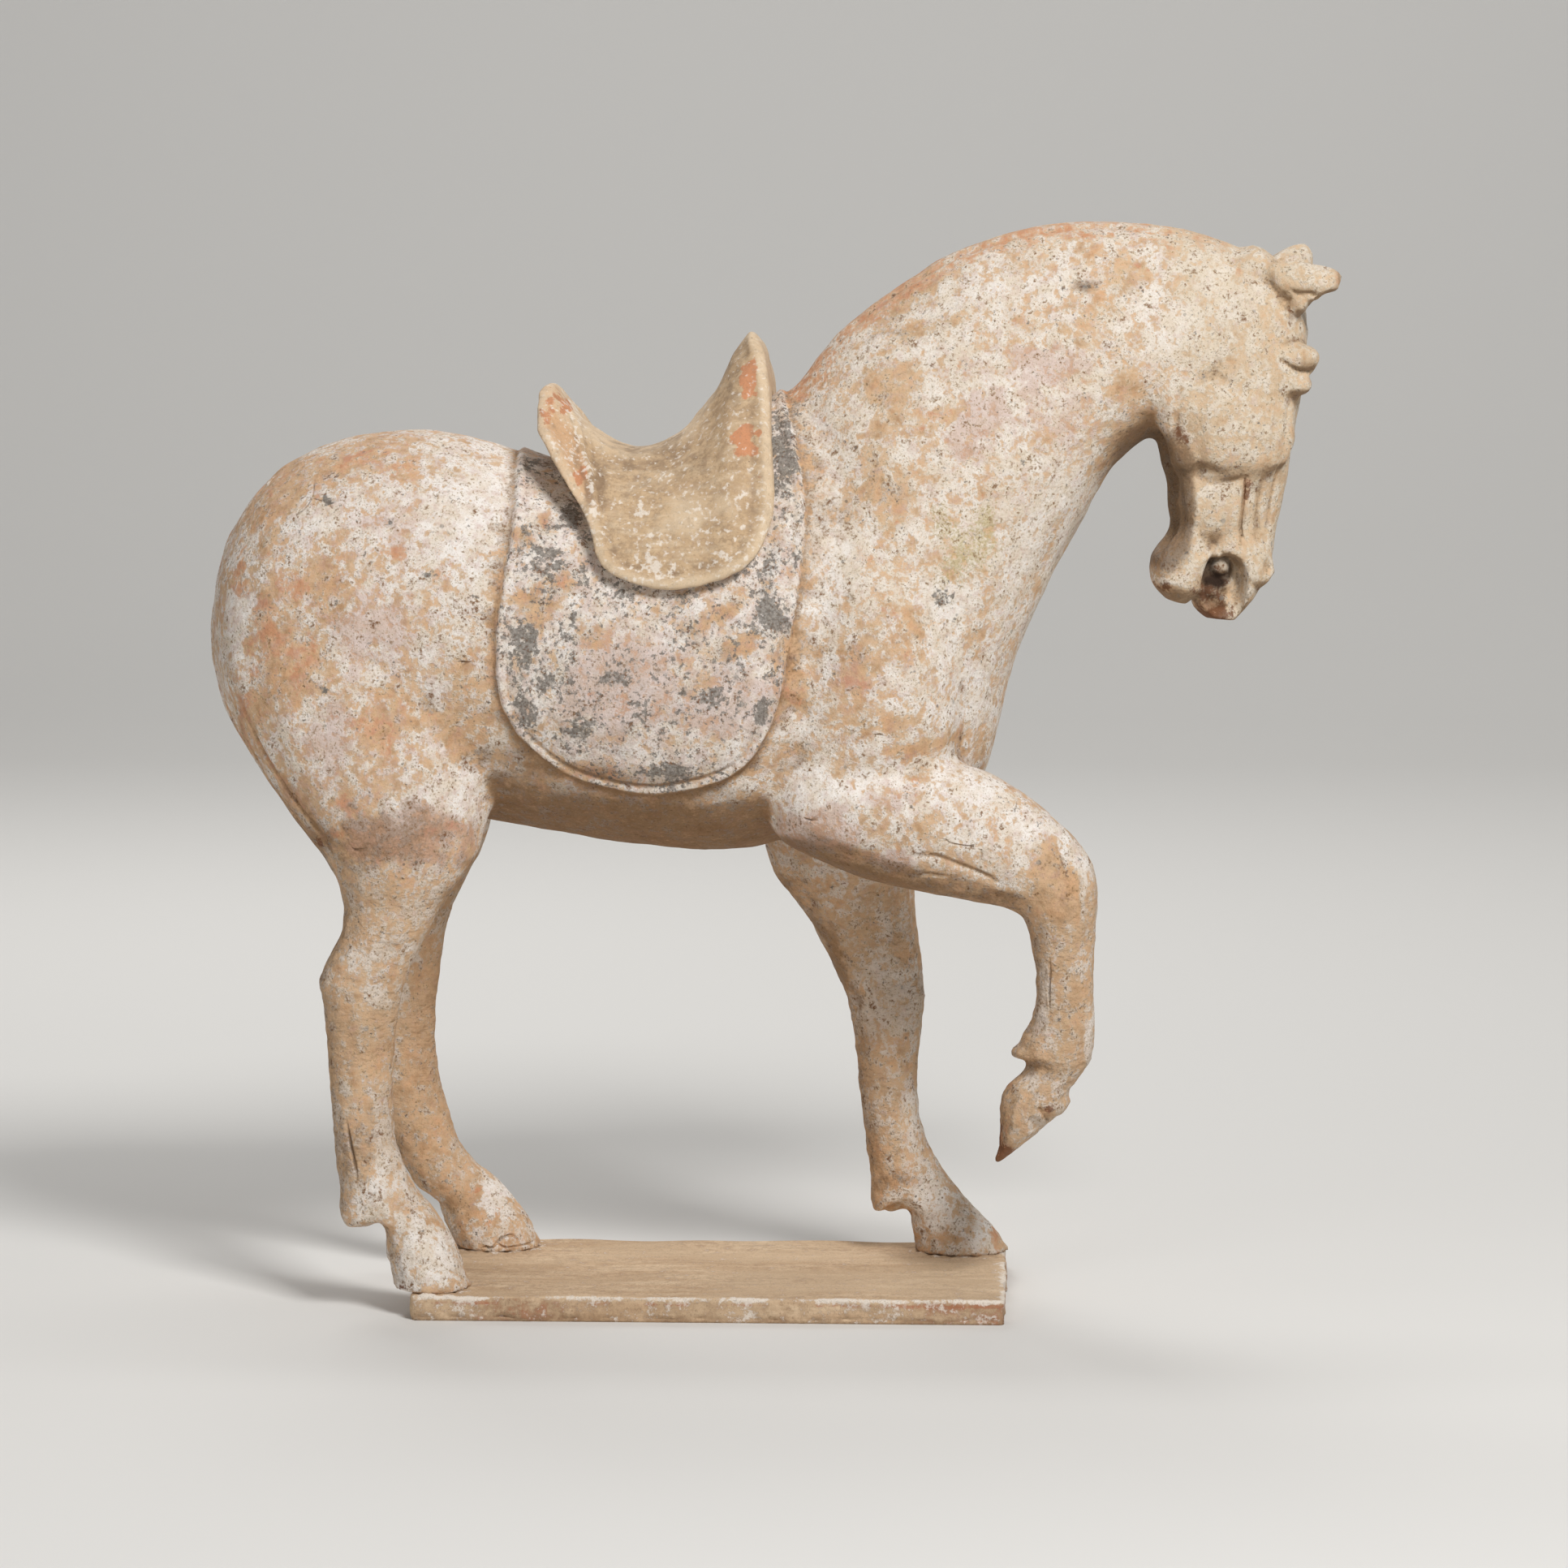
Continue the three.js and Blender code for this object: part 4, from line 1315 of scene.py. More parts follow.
    def build(self) -> bpy.types.Object:
        """Model, thin, paint and finish the horse.

        Returns:
            Its piece.
        """
        clay = Clay.over("horse", self.grain, self.wads)
        cloth = Outline(self.cloth_edge, self.cloth_top)
        self._smooth_form(clay, cloth)
        self._correct(clay)
        self._lay_cloth(clay, cloth)
        self._comb_hair(clay)
        self._model_head(clay)
        self._model_limbs(clay)
        clay = clay.thinned(self.triangles)
        clay = clay.refined(self.partings, 3.2).refined(self.cracks, 3.2, 1.8, 0.9)
        clay.draw(*self.cracks, *self.partings)
        clay.press()
        zones = self._zones(clay, cloth)
        for paint in (self._paint_slip, self._paint_earth_and_shade, self._paint_dark):
            paint(clay, zones)
        return clay.piece("horse_skin", "horse", "slipped_body", SlippedEarthenware().material())

    def _on_cloth(self, clay: Clay, cloth: Outline) -> np.ndarray:
        """Give how deep inside the cloth's edge each point is.

        Args:
            clay: The horse's skin.
            cloth: The cloth's outline.

        Returns:
            Depths in millimetres, far below zero away from the cloth.
        """
        places = FIGURE.shares(clay.co)
        near = (places[:, 0] > -215) & (places[:, 0] < 110) & (places[:, 2] > 440)
        depth = np.full(len(places), -50.0)
        depth[near] = cloth.depth(places[near][:, ::2]) * FIGURE.unit / MM
        return depth

    def _smooth_form(self, clay: Clay, cloth: Outline) -> None:
        """Take the cloth's step off, and smooth the facets away by as much as each form allows.

        Args:
            clay: The horse's skin.
            cloth: The cloth's outline.
        """
        clay.relief -= self.cloth_thickness * MM * (self._on_cloth(clay, cloth) > 0)
        clay.press()
        places = FIGURE.shares(clay.co)
        head = FIGURE.shares(clay.co, Space.HEAD)
        x, z = places[:, 0], places[:, 2]
        sigma = np.full(len(x), 6.0)
        # Legs, feet and soles are smoothed over these lengths, each from one height down to another.
        for length, high, low in ((2.6, 470, 330), (1.6, 70, 25), (0.9, 12, 4)):
            sigma += (length - sigma) * smoothstep(z, high, low)
        # The raised foot, the head, and last its ears and muzzle
        sigma += (1.3 - sigma) * smoothstep(z, 245, 225) * (places[:, 1] < 0) * (x > 250)
        in_head = smoothstep(head[:, 0], 400, 440) * (z > 590)
        sigma += (2.4 - sigma) * in_head
        ears = smoothstep(head[:, 2], 905, 925) * smoothstep(np.abs(head[:, 1]), 22, 34)
        muzzle = smoothstep(head[:, 2], 720, 700) * (head[:, 0] > 400)
        sigma += (1.1 - sigma) * np.maximum(ears * (head[:, 0] > 500), muzzle) * in_head
        clay.smooth(clay.blurred(sigma, 3.0))

    def _correct(self, clay: Clay) -> None:
        """Pull the hooves and the head true, and fill the hollows round the cheek.

        Args:
            clay: The horse's skin.
        """
        head, right, left = Space.HEAD, (Side.RIGHT,), (Side.LEFT,)
        clay.pull(
            Pull((-335, 78), 24, (-4, -11), right), Pull((-313, 48), 20, (5, 11), right),
            Pull((153, 58), 22, (-2, -12), left), Pull((180, 38), 20, (2, 8), left),
            Pull((288, 223), 10, (-6, 0), right), Pull((272, 122), 12, (-5, -5), right),
            Pull((306, 160), 10, (-5, 5), right), Pull((333, 172), 12, (4, 2), right),
            Pull((561, 917), 22, (-8, 8), right, head),
        )
        places = FIGURE.shares(clay.co, head)
        across = np.abs(places[:, 1])
        behind = smoothstep(ellipse(places, (432, 836, 30, 48, 0, 1)), 1.2, 0.8) * (across > 18)
        cheek = smoothstep(ellipse(places, (466, 850, 60, 70, 0, 1)), 1.1, 0.8) * (across > 20)
        below = smoothstep(ellipse(places, (488, 744, 52, 32, 0, 1)), 1.2, 0.8) * (across > 8)
        poll = smoothstep(ellipse(places, (492, 966, 30, 26, 0, 1)), 1.2, 0.8)
        clay.fill(np.maximum(below, poll), 9)
        clay.fill(np.maximum.reduce([cheek, below, behind]), 7)
        sigma = np.maximum.reduce([3.5 * cheek, 3.5 * below, 4 * behind, 3 * poll])
        clay.smooth(sigma, sigma > 0.05)

    def _lay_cloth(self, clay: Clay, cloth: Outline) -> None:
        """Raise the saddle cloth, with a bead along its edge and a line inside its border.

        Args:
            clay: The horse's skin.
            cloth: The cloth's outline.
        """
        depth = self._on_cloth(clay, cloth)
        uneven = Lumps(3).at(clay.co, 14) * 0.25
        relief = self.cloth_thickness * smoothstep(depth + uneven, -0.6, 1.2)
        side = smoothstep(np.abs(clay.normals[:, 1]), 0.2, 0.5)
        relief += side * (0.35 * ridge(depth, 2.0, 1.2) - 0.6 * ridge(depth, 4.4, 0.8))
        relief -= side * 0.3 * ridge(depth, 15.5, 1.1)
        clay.relief += relief * MM
        clay.press()

    def _comb_hair(self, clay: Clay) -> None:
        """Comb fine grooves along the hogged mane and down the tail.

        Args:
            clay: The horse's skin.
        """
        places = FIGURE.shares(clay.co)
        wander = Lumps(5).at(clay.co, 30) * 0.5
        below = away_from(self.crest, places)
        band = smoothstep(below, 24, 15) * (places[:, 2] > 820) * (places[:, 0] < 482)
        angle = np.arctan2(places[:, 1] - 2, np.maximum(28 - below, 1))
        clay.relief += band * (np.abs(places[:, 1]) < 24) * np.sin(angle * 11 + wander) * 0.25 * MM
        strand, hair = self._tail_hair(clay)
        clay.relief += strand * hair * 0.5 * MM
        clay.draw(Stroke(self.mane_edge, 1.1, -0.5, BOTH, fade=0.05))
        clay.press()

    def _tail_hair(self, clay: Clay) -> tuple[np.ndarray, np.ndarray]:
        """Find the tail and its strands.

        Args:
            clay: The horse's skin.

        Returns:
            Where the tail lies, from 0 to 1, and the waves of its strands, from -1 to 1.
        """
        places = FIGURE.shares(clay.co)
        inside = away_from(self.tail, places)
        strand = smoothstep(inside, 36, 24) * (np.abs(places[:, 1] + 3) < 34) * (places[:, 0] < -360)
        turn = np.arctan2(places[:, 1] + 3, np.maximum(42 - inside, 1))
        lumps, co = Lumps(5), clay.co
        waves = np.sin(turn * 14 + lumps.at(co, 40) * 1.6)
        waves += 0.5 * np.sin(turn * 31 + lumps.at(co, 25))
        return strand, waves * (0.7 + 0.4 * lumps.at(co, 16)) / 1.5

    def _model_head(self, clay: Clay) -> None:
        """Model the face: lids, cheek, flutes of the nose, lips, jaw and ears.

        Args:
            clay: The horse's skin.
        """
        head = Space.HEAD
        clay.daub(
            Dab((411, 690), (8, 9), 0.8, BOTH, head), Dab((424, 664), (9, 6), 0.7, BOTH, head),
            Dab((405, 668), (5, 6), -0.6, BOTH, head), Dab((436, 650), (4, 8), -0.6, BOTH, head),
            Dab((519, 672), (5, 5), 0.8, BOTH, head), Dab((436, 655), (6, 12), 0.8, BOTH, head),
            Dab((457, 661), (4, 4), 0.9, space=head), Dab((471, 656), (4, 3), 0.8, space=head),
            Dab((463, 645), (6, 3), -0.8, space=head), Dab((476, 642), (4, 4), 0.6, space=head),
        )
        clay.press()
        clay.draw(
            Stroke(
                ((512, 874), (518, 867), (531, 860), (548, 860), (556, 862)), 0.8, -1.5, BOTH, head, 0.12
            ),
            Stroke(((434, 776), (440, 764), (455, 757), (474, 757), (490, 762)), 1.6, -1.0, BOTH, head),
            Stroke(((422, 856), (419, 820), (423, 792)), 2.0, -1.2, BOTH, head),
            Stroke(((484, 764), (484, 735), (482, 715), (485, 686)), 0.8, -0.8, BOTH, head),
            Stroke(((514, 850), (508, 800), (502, 764), (500, 725), (499, 692)), 1.3, -0.7, BOTH, head),
            Stroke(((527, 850), (521, 800), (514, 730), (508, 690)), 1.3, -0.7, BOTH, head),
            Stroke(((418, 776), (427, 738), (429, 716), (422, 694)), 3.2, -1.9, BOTH, head),
            Stroke(((433, 784), (439, 752), (440, 714), (434, 686), (430, 666)), 1.5, 1.1, BOTH, head),
            Stroke(((440, 662), (444, 680), (460, 689), (480, 684), (487, 668)), 1.3, 1.0, BOTH, head),
            Stroke(((399, 672), (412, 668), (424, 673), (431, 684)), 1.2, -0.7, BOTH, head),
            Stroke(((520, 938), (530, 931), (540, 932), (549, 925), (552, 912)), 0.8, -1.0, space=head),
        )
        clay.press()

    def _model_limbs(self, clay: Clay) -> None:
        """Draw the grooves of the forearm and hooves, and the unevenness that hands leave.

        Args:
            clay: The horse's skin.
        """
        co = clay.co
        limb = smoothstep(FIGURE.shares(co)[:, 2], 420, 250)
        clay.relief += Lumps(11).at(co, 34) * 0.28 * MM
        clay.relief += Lumps(12).at(co, 11) * 0.12 * MM
        clay.relief += Lumps(13).at(co * [1, 1, 2.2], 7) * (0.03 + 0.1 * limb) * MM
        clay.draw(
            Stroke(((180, 412), (209, 413), (232, 405), (250, 398), (266, 390), (281, 381)), 1.0, -1.0),
            Stroke(((195, 396), (225, 393)), 0.8, -0.4),
            Stroke(((308, 178), (313, 170), (317, 162), (321, 155)), 1.3, -2.0, fade=0.1),
            Stroke(((231, 483), (194, 461), (141, 446), (100, 444)), 2.5, -0.5),
        )
        foot = smoothstep(FIGURE.shares(co)[:, 2], 9, 0)
        rough = 0.5 + 0.4 * Lumps(14).at(co, 9)
        clay.relief += foot * rough * smoothstep(-clay.normals[:, 2], 0.9, 0.5) * MM
        clay.daub(
            Dab((129, 652), (4, 3), -1.4), Dab((215, 551), (9, 4), -0.5, lean=-40),
            Dab((213, 549), (5, 3), 0.5, lean=-40), Dab((192, 592), (30, 7), 0.7, lean=-8),
            Dab((327, 172), (7, 8), 0.9), Dab((284, 198), (12, 4), 0.7, lean=50),
        )
        clay.press()
        co = clay.co
        co[:, 2] -= 0.28 * MM * smoothstep(co[:, 2], FIGURE.sole_z + 4 * MM, FIGURE.sole_z)
        clay.co = co

    def _zones(self, clay: Clay, cloth: Outline) -> Zones:
        """Find the regions of the skin.

        Args:
            clay: The horse's skin.
            cloth: The cloth's outline.

        Returns:
            The regions.
        """
        co, normals = clay.co, clay.normals
        places, turned = FIGURE.shares(co), FIGURE.shares(co, Space.HEAD)
        x, z = places[:, 0], places[:, 2]
        depth = self._on_cloth(clay, cloth)
        limb = smoothstep(z, 460, 320)
        strand, hair = self._tail_hair(clay)
        hollow = ((clay.blurred(co, 2.5) - co) * normals).sum(1) / MM
        jaw = smoothstep(ellipse(turned, (414, 738, 30, 64, 0, 1)), 1.15, 0.85)
        return Zones(
            x=x,
            z=z,
            turned=turned,
            on_cloth=smoothstep(depth, -0.5, 1.0),
            seam=ridge(depth, -0.6, 0.9),
            limb=limb,
            belly=smoothstep(normals[:, 2], -0.35, -0.8) * smoothstep(z, 330, 400),
            rump=smoothstep(x, -180, -300) * (1 - limb),
            face=smoothstep(turned[:, 0], 400, 440) * (z > 590),
            jaw=jaw * smoothstep(turned[:, 0], 443, 433),
            hollow=smoothstep(hollow, 0.05, 0.5),
            mane=smoothstep(away_from(self.crest, places), 22, 14) * ((z > 830) & (x < 482)),
            strand=strand,
            hair=hair,
            parting=sum(clay.touch(replace(stroke, width=1.3)) for stroke in self.partings),
        )

    def _paint_slip(self, clay: Clay, at: Zones) -> None:
        """Paint the worn slip, and the orange and pink traces that show through it.

        Args:
            clay: The horse's skin.
            at: Its regions.
        """
        wear, head = self.weathering, Space.HEAD
        drift = Lumps(41).at(clay.co, 55)
        bare = clay.scatter(51, 16, 8, 24) - 0.6 * clay.scatter(52, 12, 10, 26)
        worn = 0.2 + clay.patches(wear.slip_on_cloth)
        slip = 0.6 - 0.22 * at.limb - 0.1 * at.rump - 0.12 * at.face + 0.04 * drift
        # Less slip in the hollows, under the belly and along the cloth's edge: wear and painted shade.
        slip = slip - 0.2 * at.hollow - 0.45 * at.belly
        slip += 0.2 * at.strand * at.hair - 0.45 * at.parting - 0.25 * at.mane - 0.3 * bare - 0.2 * at.seam
        slip += clay.patches(wear.slip) + clay.patches(wear.slip_on_head, head)
        slip += clay.patches(wear.slip_inside, inner=True) + at.on_cloth * worn
        rust = clay.patches(wear.rust) + clay.patches(wear.rust_on_head, head)
        rust += clay.patches(wear.rust_inside, inner=True) + 0.7 * clay.scatter(53, 24, 1.5, 6)
        clay.paint(Coat.SLIP, slip - 0.3 * rust)
        rust += 0.12 + 0.28 * at.rump - 0.04 * at.on_cloth - 0.1 * at.limb - 0.1 * at.face + 0.85 * at.mane
        rust += 0.2 * at.strand + 0.3 * at.parting
        clay.paint(Coat.RUST, rust)
        lilac = 0.2 - 0.15 * at.limb - 0.15 * at.face + 0.1 * at.rump + 0.2 * at.on_cloth
        lilac += 0.6 * clay.scatter(54, 9, 10, 20)
        clay.paint(Coat.LILAC, lilac + clay.patches(wear.lilac))

    def _paint_earth_and_shade(self, clay: Clay, at: Zones) -> None:
        """Paint burial earth and painted shade, the stains and the creamier slip of head and neck.

        Args:
            clay: The horse's skin.
            at: Its regions.
        """
        wear, head = self.weathering, Space.HEAD
        # rear holds the faces turned back, low on the figure; they and the lower haunch get earth and
        # painted shade.
        rear = smoothstep(-clay.normals[:, 0], 0.15, 0.85) * smoothstep(at.z, 520, 330)
        # Burial earth, with painted shade in the hollows, on the underside, along the cloth's edge and on
        # the jaw.
        earth = 0.06 + 0.08 * at.limb + 0.1 * at.face + 0.5 * at.hollow + at.belly + 0.2 * at.seam
        earth += 0.9 * at.jaw
        earth += 0.4 * rear + 0.25 * smoothstep(at.z, 520, 430) * at.rump
        earth += clay.patches(wear.earth) + clay.patches(wear.earth_and_shade_on_head, head)
        clay.paint(Coat.EARTH_AND_SHADE, earth + clay.patches(wear.earth_inside, inner=True))
        clay.paint(Coat.LICHEN, clay.patches(wear.lichen))
        clay.paint(Coat.UMBER, clay.patches(wear.umber) + clay.patches(wear.umber_on_head, head))
        neck = smoothstep(at.z, 560, 700) * smoothstep(at.x, 60, 160)
        cream = 0.1 + 0.75 * at.face + 0.3 * neck * (1 - at.face) - 0.1 * at.limb - 0.1 * at.on_cloth
        clay.paint(Coat.CREAM, cream)

    def _paint_dark(self, clay: Clay, at: Zones) -> None:
        """Paint the cloth's flecks, the legs' crust, the cracks, and painted shade in mouth, jaw and belly.

        Args:
            clay: The horse's skin.
            at: Its regions.
        """
        co, turned = clay.co, at.turned
        fleck = 0.29 + 0.1 * Lumps(42).at(co, 16) + 0.4 * clay.scatter(55, 14, 3, 8)
        clay.paint(Coat.SOOT, at.on_cloth * fleck + clay.patches(self.weathering.soot))
        # The crust thins towards the hooves, which also lightens the standing hoof in the raised foreleg's
        # shadow: partly painted light.
        crust = 0.5 + 0.5 * smoothstep(Lumps(43).at(co, 30), -0.5, 0.8)
        clay.paint(Coat.CRUST, at.limb * crust * (0.2 + 0.8 * smoothstep(at.z, 50, 150)))
        # Painted shade, near black, inside the mouth, on the jaw and under the belly; the cracks below are
        # dark.
        gap_and_shade = 0.85 * smoothstep(ellipse(turned, (465, 672, 18, 16, 0, 1)), 1.15, 0.8)
        gap_and_shade += 0.35 * smoothstep(ellipse(turned, (463, 652, 14, 16, 0, 1)), 1.15, 0.7)
        gap_and_shade = gap_and_shade * smoothstep(np.abs(turned[:, 1]), 27, 18) + 0.36 * at.jaw + 0.25 * at.belly
        dark = (replace(crack, width=crack.width * 0.75) for crack in self.cracks)
        gap_and_shade += 0.85 * sum(clay.touch(crack) for crack in dark)
        clay.paint(Coat.GAP_AND_SHADE, gap_and_shade)


@dataclass
class Saddle:
    """The separately moulded saddle with its raised cantle and pommel."""

    grain: float = 0.9 * MM
    triangles: int = 70_000
    top_edge: Points = (
        (-164, 840), (-152, 846), (-124, 811), (-78, 787), (-30, 803), (-7, 840), (10, 882), (30, 898),
        (47, 880), (54, 841),
    )
    flap_edge: Points = (
        (58, 780), (59, 724), (34, 680), (-34, 660), (-94, 679), (-112, 724), (-134, 760), (-161, 804),
    )
    cantle_fold: Points = ((-145, 845), (-134, 824), (-119, 786), (-108, 752), (-104, 722))
    cantle_back: tuple[Points, Points] = (
        ((-166, 842), (-150, 849), (-136, 822), (-121, 786), (-110, 752), (-105, 715)),
        ((-105, 715), (-116, 724), (-138, 760), (-166, 804), (-166, 842)),
    )
    flake: tuple[Patch, ...] = (
        (-65, 731, 7, 8, 0, 0.45), (-45, 707, 20, 8, 0, 0.3), (-51, 682, 30, 9, 0, 0.3),
        (-93, 710, 8, 12, 0, 0.25), (11, 713, 7, 4, 0, 0.3), (-47, 761, 18, 5, 15, 0.2),
        (-128, 800, 8, 34, -20, 0.15), (20, 690, 20, 8, 30, 0.2),
    )
    rust: tuple[Patch, ...] = (
        (33, 800, 11, 13, 0, 1), (37, 855, 7, 18, 0, 0.9), (-137, 831, 5, 11, 0, 0.8),
        (-116, 766, 5, 9, 0, 1), (-150, 825, 8, 16, 0, 0.45),
    )
    light: tuple[Patch, ...] = (
        (-25, 729, 21, 17, 0, 0.4), (-47, 761, 20, 7, 15, 0.3), (10, 740, 12, 14, 0, 0.3),
    )
    # Painted shade under the cantle's fold, across the upper seat and by the pommel.
    earth: tuple[Patch, ...] = (
        (-107, 752, 5, 22, -15, 0.6), (-60, 790, 40, 6, 0, 0.35), (-48, 776, 50, 20, 0, 0.3),
        (20, 850, 10, 40, 20, 0.3),
    )

    def build(self) -> bpy.types.Object:
        """Model, paint and finish the saddle.

        Returns:
            Its piece.
        """
        clay = Clay.over("saddle", self.grain)
        outline = Outline(self.top_edge, self.flap_edge)
        self._model(clay, outline)
        clay = clay.thinned(self.triangles)
        self._paint(clay, outline)
        return clay.piece("saddle_skin", "saddle", "saddle_ochre", SaddleOchre().material())

    def _model(self, clay: Clay, outline: Outline) -> None:
        """Round the rim, fold the cantle, and leave the surface uneven.

        Args:
            clay: The saddle's skin.
            outline: The saddle's outline.
        """
        clay.smooth(1.6)
        depth = outline.depth(FIGURE.shares(clay.co)[:, ::2]) * FIGURE.unit / MM
        outside = smoothstep(clay.normals[:, 1] * np.sign(clay.co[:, 1]), 0.1, 0.5)
        clay.relief += outside * (0.8 * ridge(depth, 3.2, 1.9) - 0.7 * ridge(depth, 8.0, 2.6)) * MM
        clay.relief += Lumps(21).at(clay.co, 20) * 0.2 * MM + Lumps(22).at(clay.co, 7) * 0.06 * MM
        inner_line = tuple((x + 8, z + 4) for x, z in self.cantle_fold)
        clay.draw(Stroke(self.cantle_fold, 1.5, 1.5, BOTH), Stroke(inner_line, 2.2, -0.9, BOTH))
        clay.press()

    def _paint(self, clay: Clay, outline: Outline) -> None:
        """Paint the lighter rim, the bare back of the cantle, flakes, spots, earth and painted shade.

        Args:
            clay: The saddle's skin.
            outline: The saddle's outline.
        """
        places = FIGURE.shares(clay.co)
        depth = outline.depth(places[:, ::2]) * FIGURE.unit / MM
        hollow = ((clay.blurred(clay.co, 2.0) - clay.co) * clay.normals).sum(1) / MM
        hollow = smoothstep(hollow, 0.05, 0.4)
        clay.paint(Coat.CREAM, 0.22 + 0.45 * smoothstep(depth, 6, 2) + clay.patches(self.light))
        back = Outline(*self.cantle_back).depth(places[:, ::2])
        outer = smoothstep(back, -1.5, 1.5) * (clay.normals[:, 1] < 0.4)
        clay.paint(Coat.SLIP, 0.16 + 0.7 * outer)
        flake = 0.13 + clay.patches(self.flake) + 0.2 * clay.scatter(61, 12, 3, 8)
        clay.paint(Coat.FLAKE, flake + 0.3 * ridge(back, -1, 3) * (places[:, 0] < -100))
        clay.paint(Coat.RUST, 0.06 + clay.patches(self.rust) + 0.7 * clay.scatter(62, 5, 2, 5))
        # Earth, and painted shade in the hollows and in the patches under the cantle and by the pommel.
        clay.paint(Coat.EARTH_AND_SHADE, 0.14 + 0.5 * hollow + clay.patches(self.earth))


@dataclass
class Slab:
    """The thin slab that the hooves are fixed to."""

    grain: float = 1.0 * MM
    triangles: int = 90_000

    def build(self) -> bpy.types.Object:
        """Model, paint and finish the slab.

        Returns:
            Its piece.
        """
        low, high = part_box("base_slab")
        clay = Clay.over("base_slab", self.grain)
        self._model(clay, low, high)
        clay = clay.thinned(self.triangles)
        self._paint(clay, low, high)
        return clay.piece("slab_skin", "base_slab", "slab_clay", SlabClay().material())

    def _model(self, clay: Clay, low: Vector, high: Vector) -> None:
        """Wear the edges, chip the front corner, and smear clay up to the hooves.

        Args:
            clay: The slab's skin.
            low: The least corner of the slab's box.
            high: Its greatest corner.
        """
        clay.smooth(0.9)
        co = clay.co
        side = smoothstep(np.abs(clay.normals[:, 2]), 0.9, 0.3)
        top = smoothstep(clay.normals[:, 2], 0.3, 0.9)
        foot = smoothstep(co[:, 2], low.z + 3.5 * MM, low.z)
        relief = side * (Lumps(31).at(co, 26) * 0.5 + Lumps(32).at(co, 7) * 0.22 - 0.5)
        relief -= side * foot * (0.7 + 0.7 * Lumps(34).at(co, 9))
        relief += top * (Lumps(33).at(co * [0.2, 1, 1], 6) * 0.1 + Lumps(35).at(co, 40) * 0.25 - 0.3)
        end = smoothstep(co[:, 0], high.x - 4 * MM, high.x) * ridge(co[:, 1] / MM, 8, 26)
        relief += side * end * (0.9 + 0.5 * Lumps(36).at(co, 13))
        relief += top * self._luting(clay, high.z) * (0.7 + 0.35 * Lumps(38).at(co, 6))
        clay.relief += relief * MM
        clay.press()
        co = clay.co
        co[:, 2] = np.maximum(co[:, 2], low.z)
        clay.co = co

    def _luting(self, clay: Clay, top: float) -> np.ndarray:
        """Give where clay was smeared up to the hooves.

        Args:
            clay: The slab's skin.
            top: The height of the slab's upper face in metres.

        Returns:
            One amount for each point, 1 beside a hoof.
        """
        corners = np.array([vert.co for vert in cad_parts["horse"].data.vertices])
        soles = np.unique(corners[corners[:, 2] < top + 1.2 * MM].round(4), axis=0)
        away = np.full(len(clay.co), np.inf)
        for sole in soles:
            away = np.minimum(away, np.linalg.norm((clay.co - sole)[:, :2], axis=1))
        return smoothstep(away / MM, 5.0, 1.5)

    def _paint(self, clay: Clay, low: Vector, high: Vector) -> None:
        """Paint the white line along the upper edge and the stains of the faces.

        Args:
            clay: The slab's skin.
            low: The least corner of the slab's box.
            high: Its greatest corner.
        """
        co = clay.co
        x, y = co[:, 0] / MM, co[:, 1] / MM
        side = smoothstep(np.abs(clay.normals[:, 2]), 0.85, 0.4)
        below = (high.z - co[:, 2]) / MM
        inwards = np.minimum(co[:, 1] - low.y, high.x - co[:, 0]) / MM
        drift = Lumps(37).at(co, 30)
        rim = ridge(below, 0.4, 1.3) * np.maximum(side, ridge(inwards, 0.5, 1.6))
        end = smoothstep(x, high.x / MM - 7, high.x / MM - 1) * ridge(y, -10, 34)
        smeared = self._luting(clay, high.z) * (1 - side)
        slip = 0.14 + 0.22 * smeared + rim * (0.5 + 0.25 * drift) + side * (0.12 + 0.1 * drift)
        clay.paint(Coat.SLIP, slip + 0.3 * end)
        line = ridge(below, 3.0, 0.9) * side * smoothstep(drift, -0.6, 0.4)
        right = smoothstep(x, 70, 100) * side
        left = ridge(x, -78, 22) * side
        clay.paint(Coat.RUST, 0.06 + 0.5 * line + 0.34 * right + 0.3 * left)
        earth = 0.14 + 0.2 * side + 0.3 * right + 0.3 * left + 0.35 * side * ridge(below, 11, 2)
        wiped = 0.12 * Lumps(39).at(co * [0.3, 1, 1], 24) * (1 - side)
        clay.paint(Coat.EARTH_AND_SHADE, earth + 0.3 * smeared + wiped)


@dataclass(frozen=True)
class Lamp:
    """A soft square light: its side in metres, its power in watts, and what it looks at.

    With no place to look at, it looks at the middle of the horse.
    """

    name: str
    place: Place
    size: float
    power: float
    towards: Place | None = None


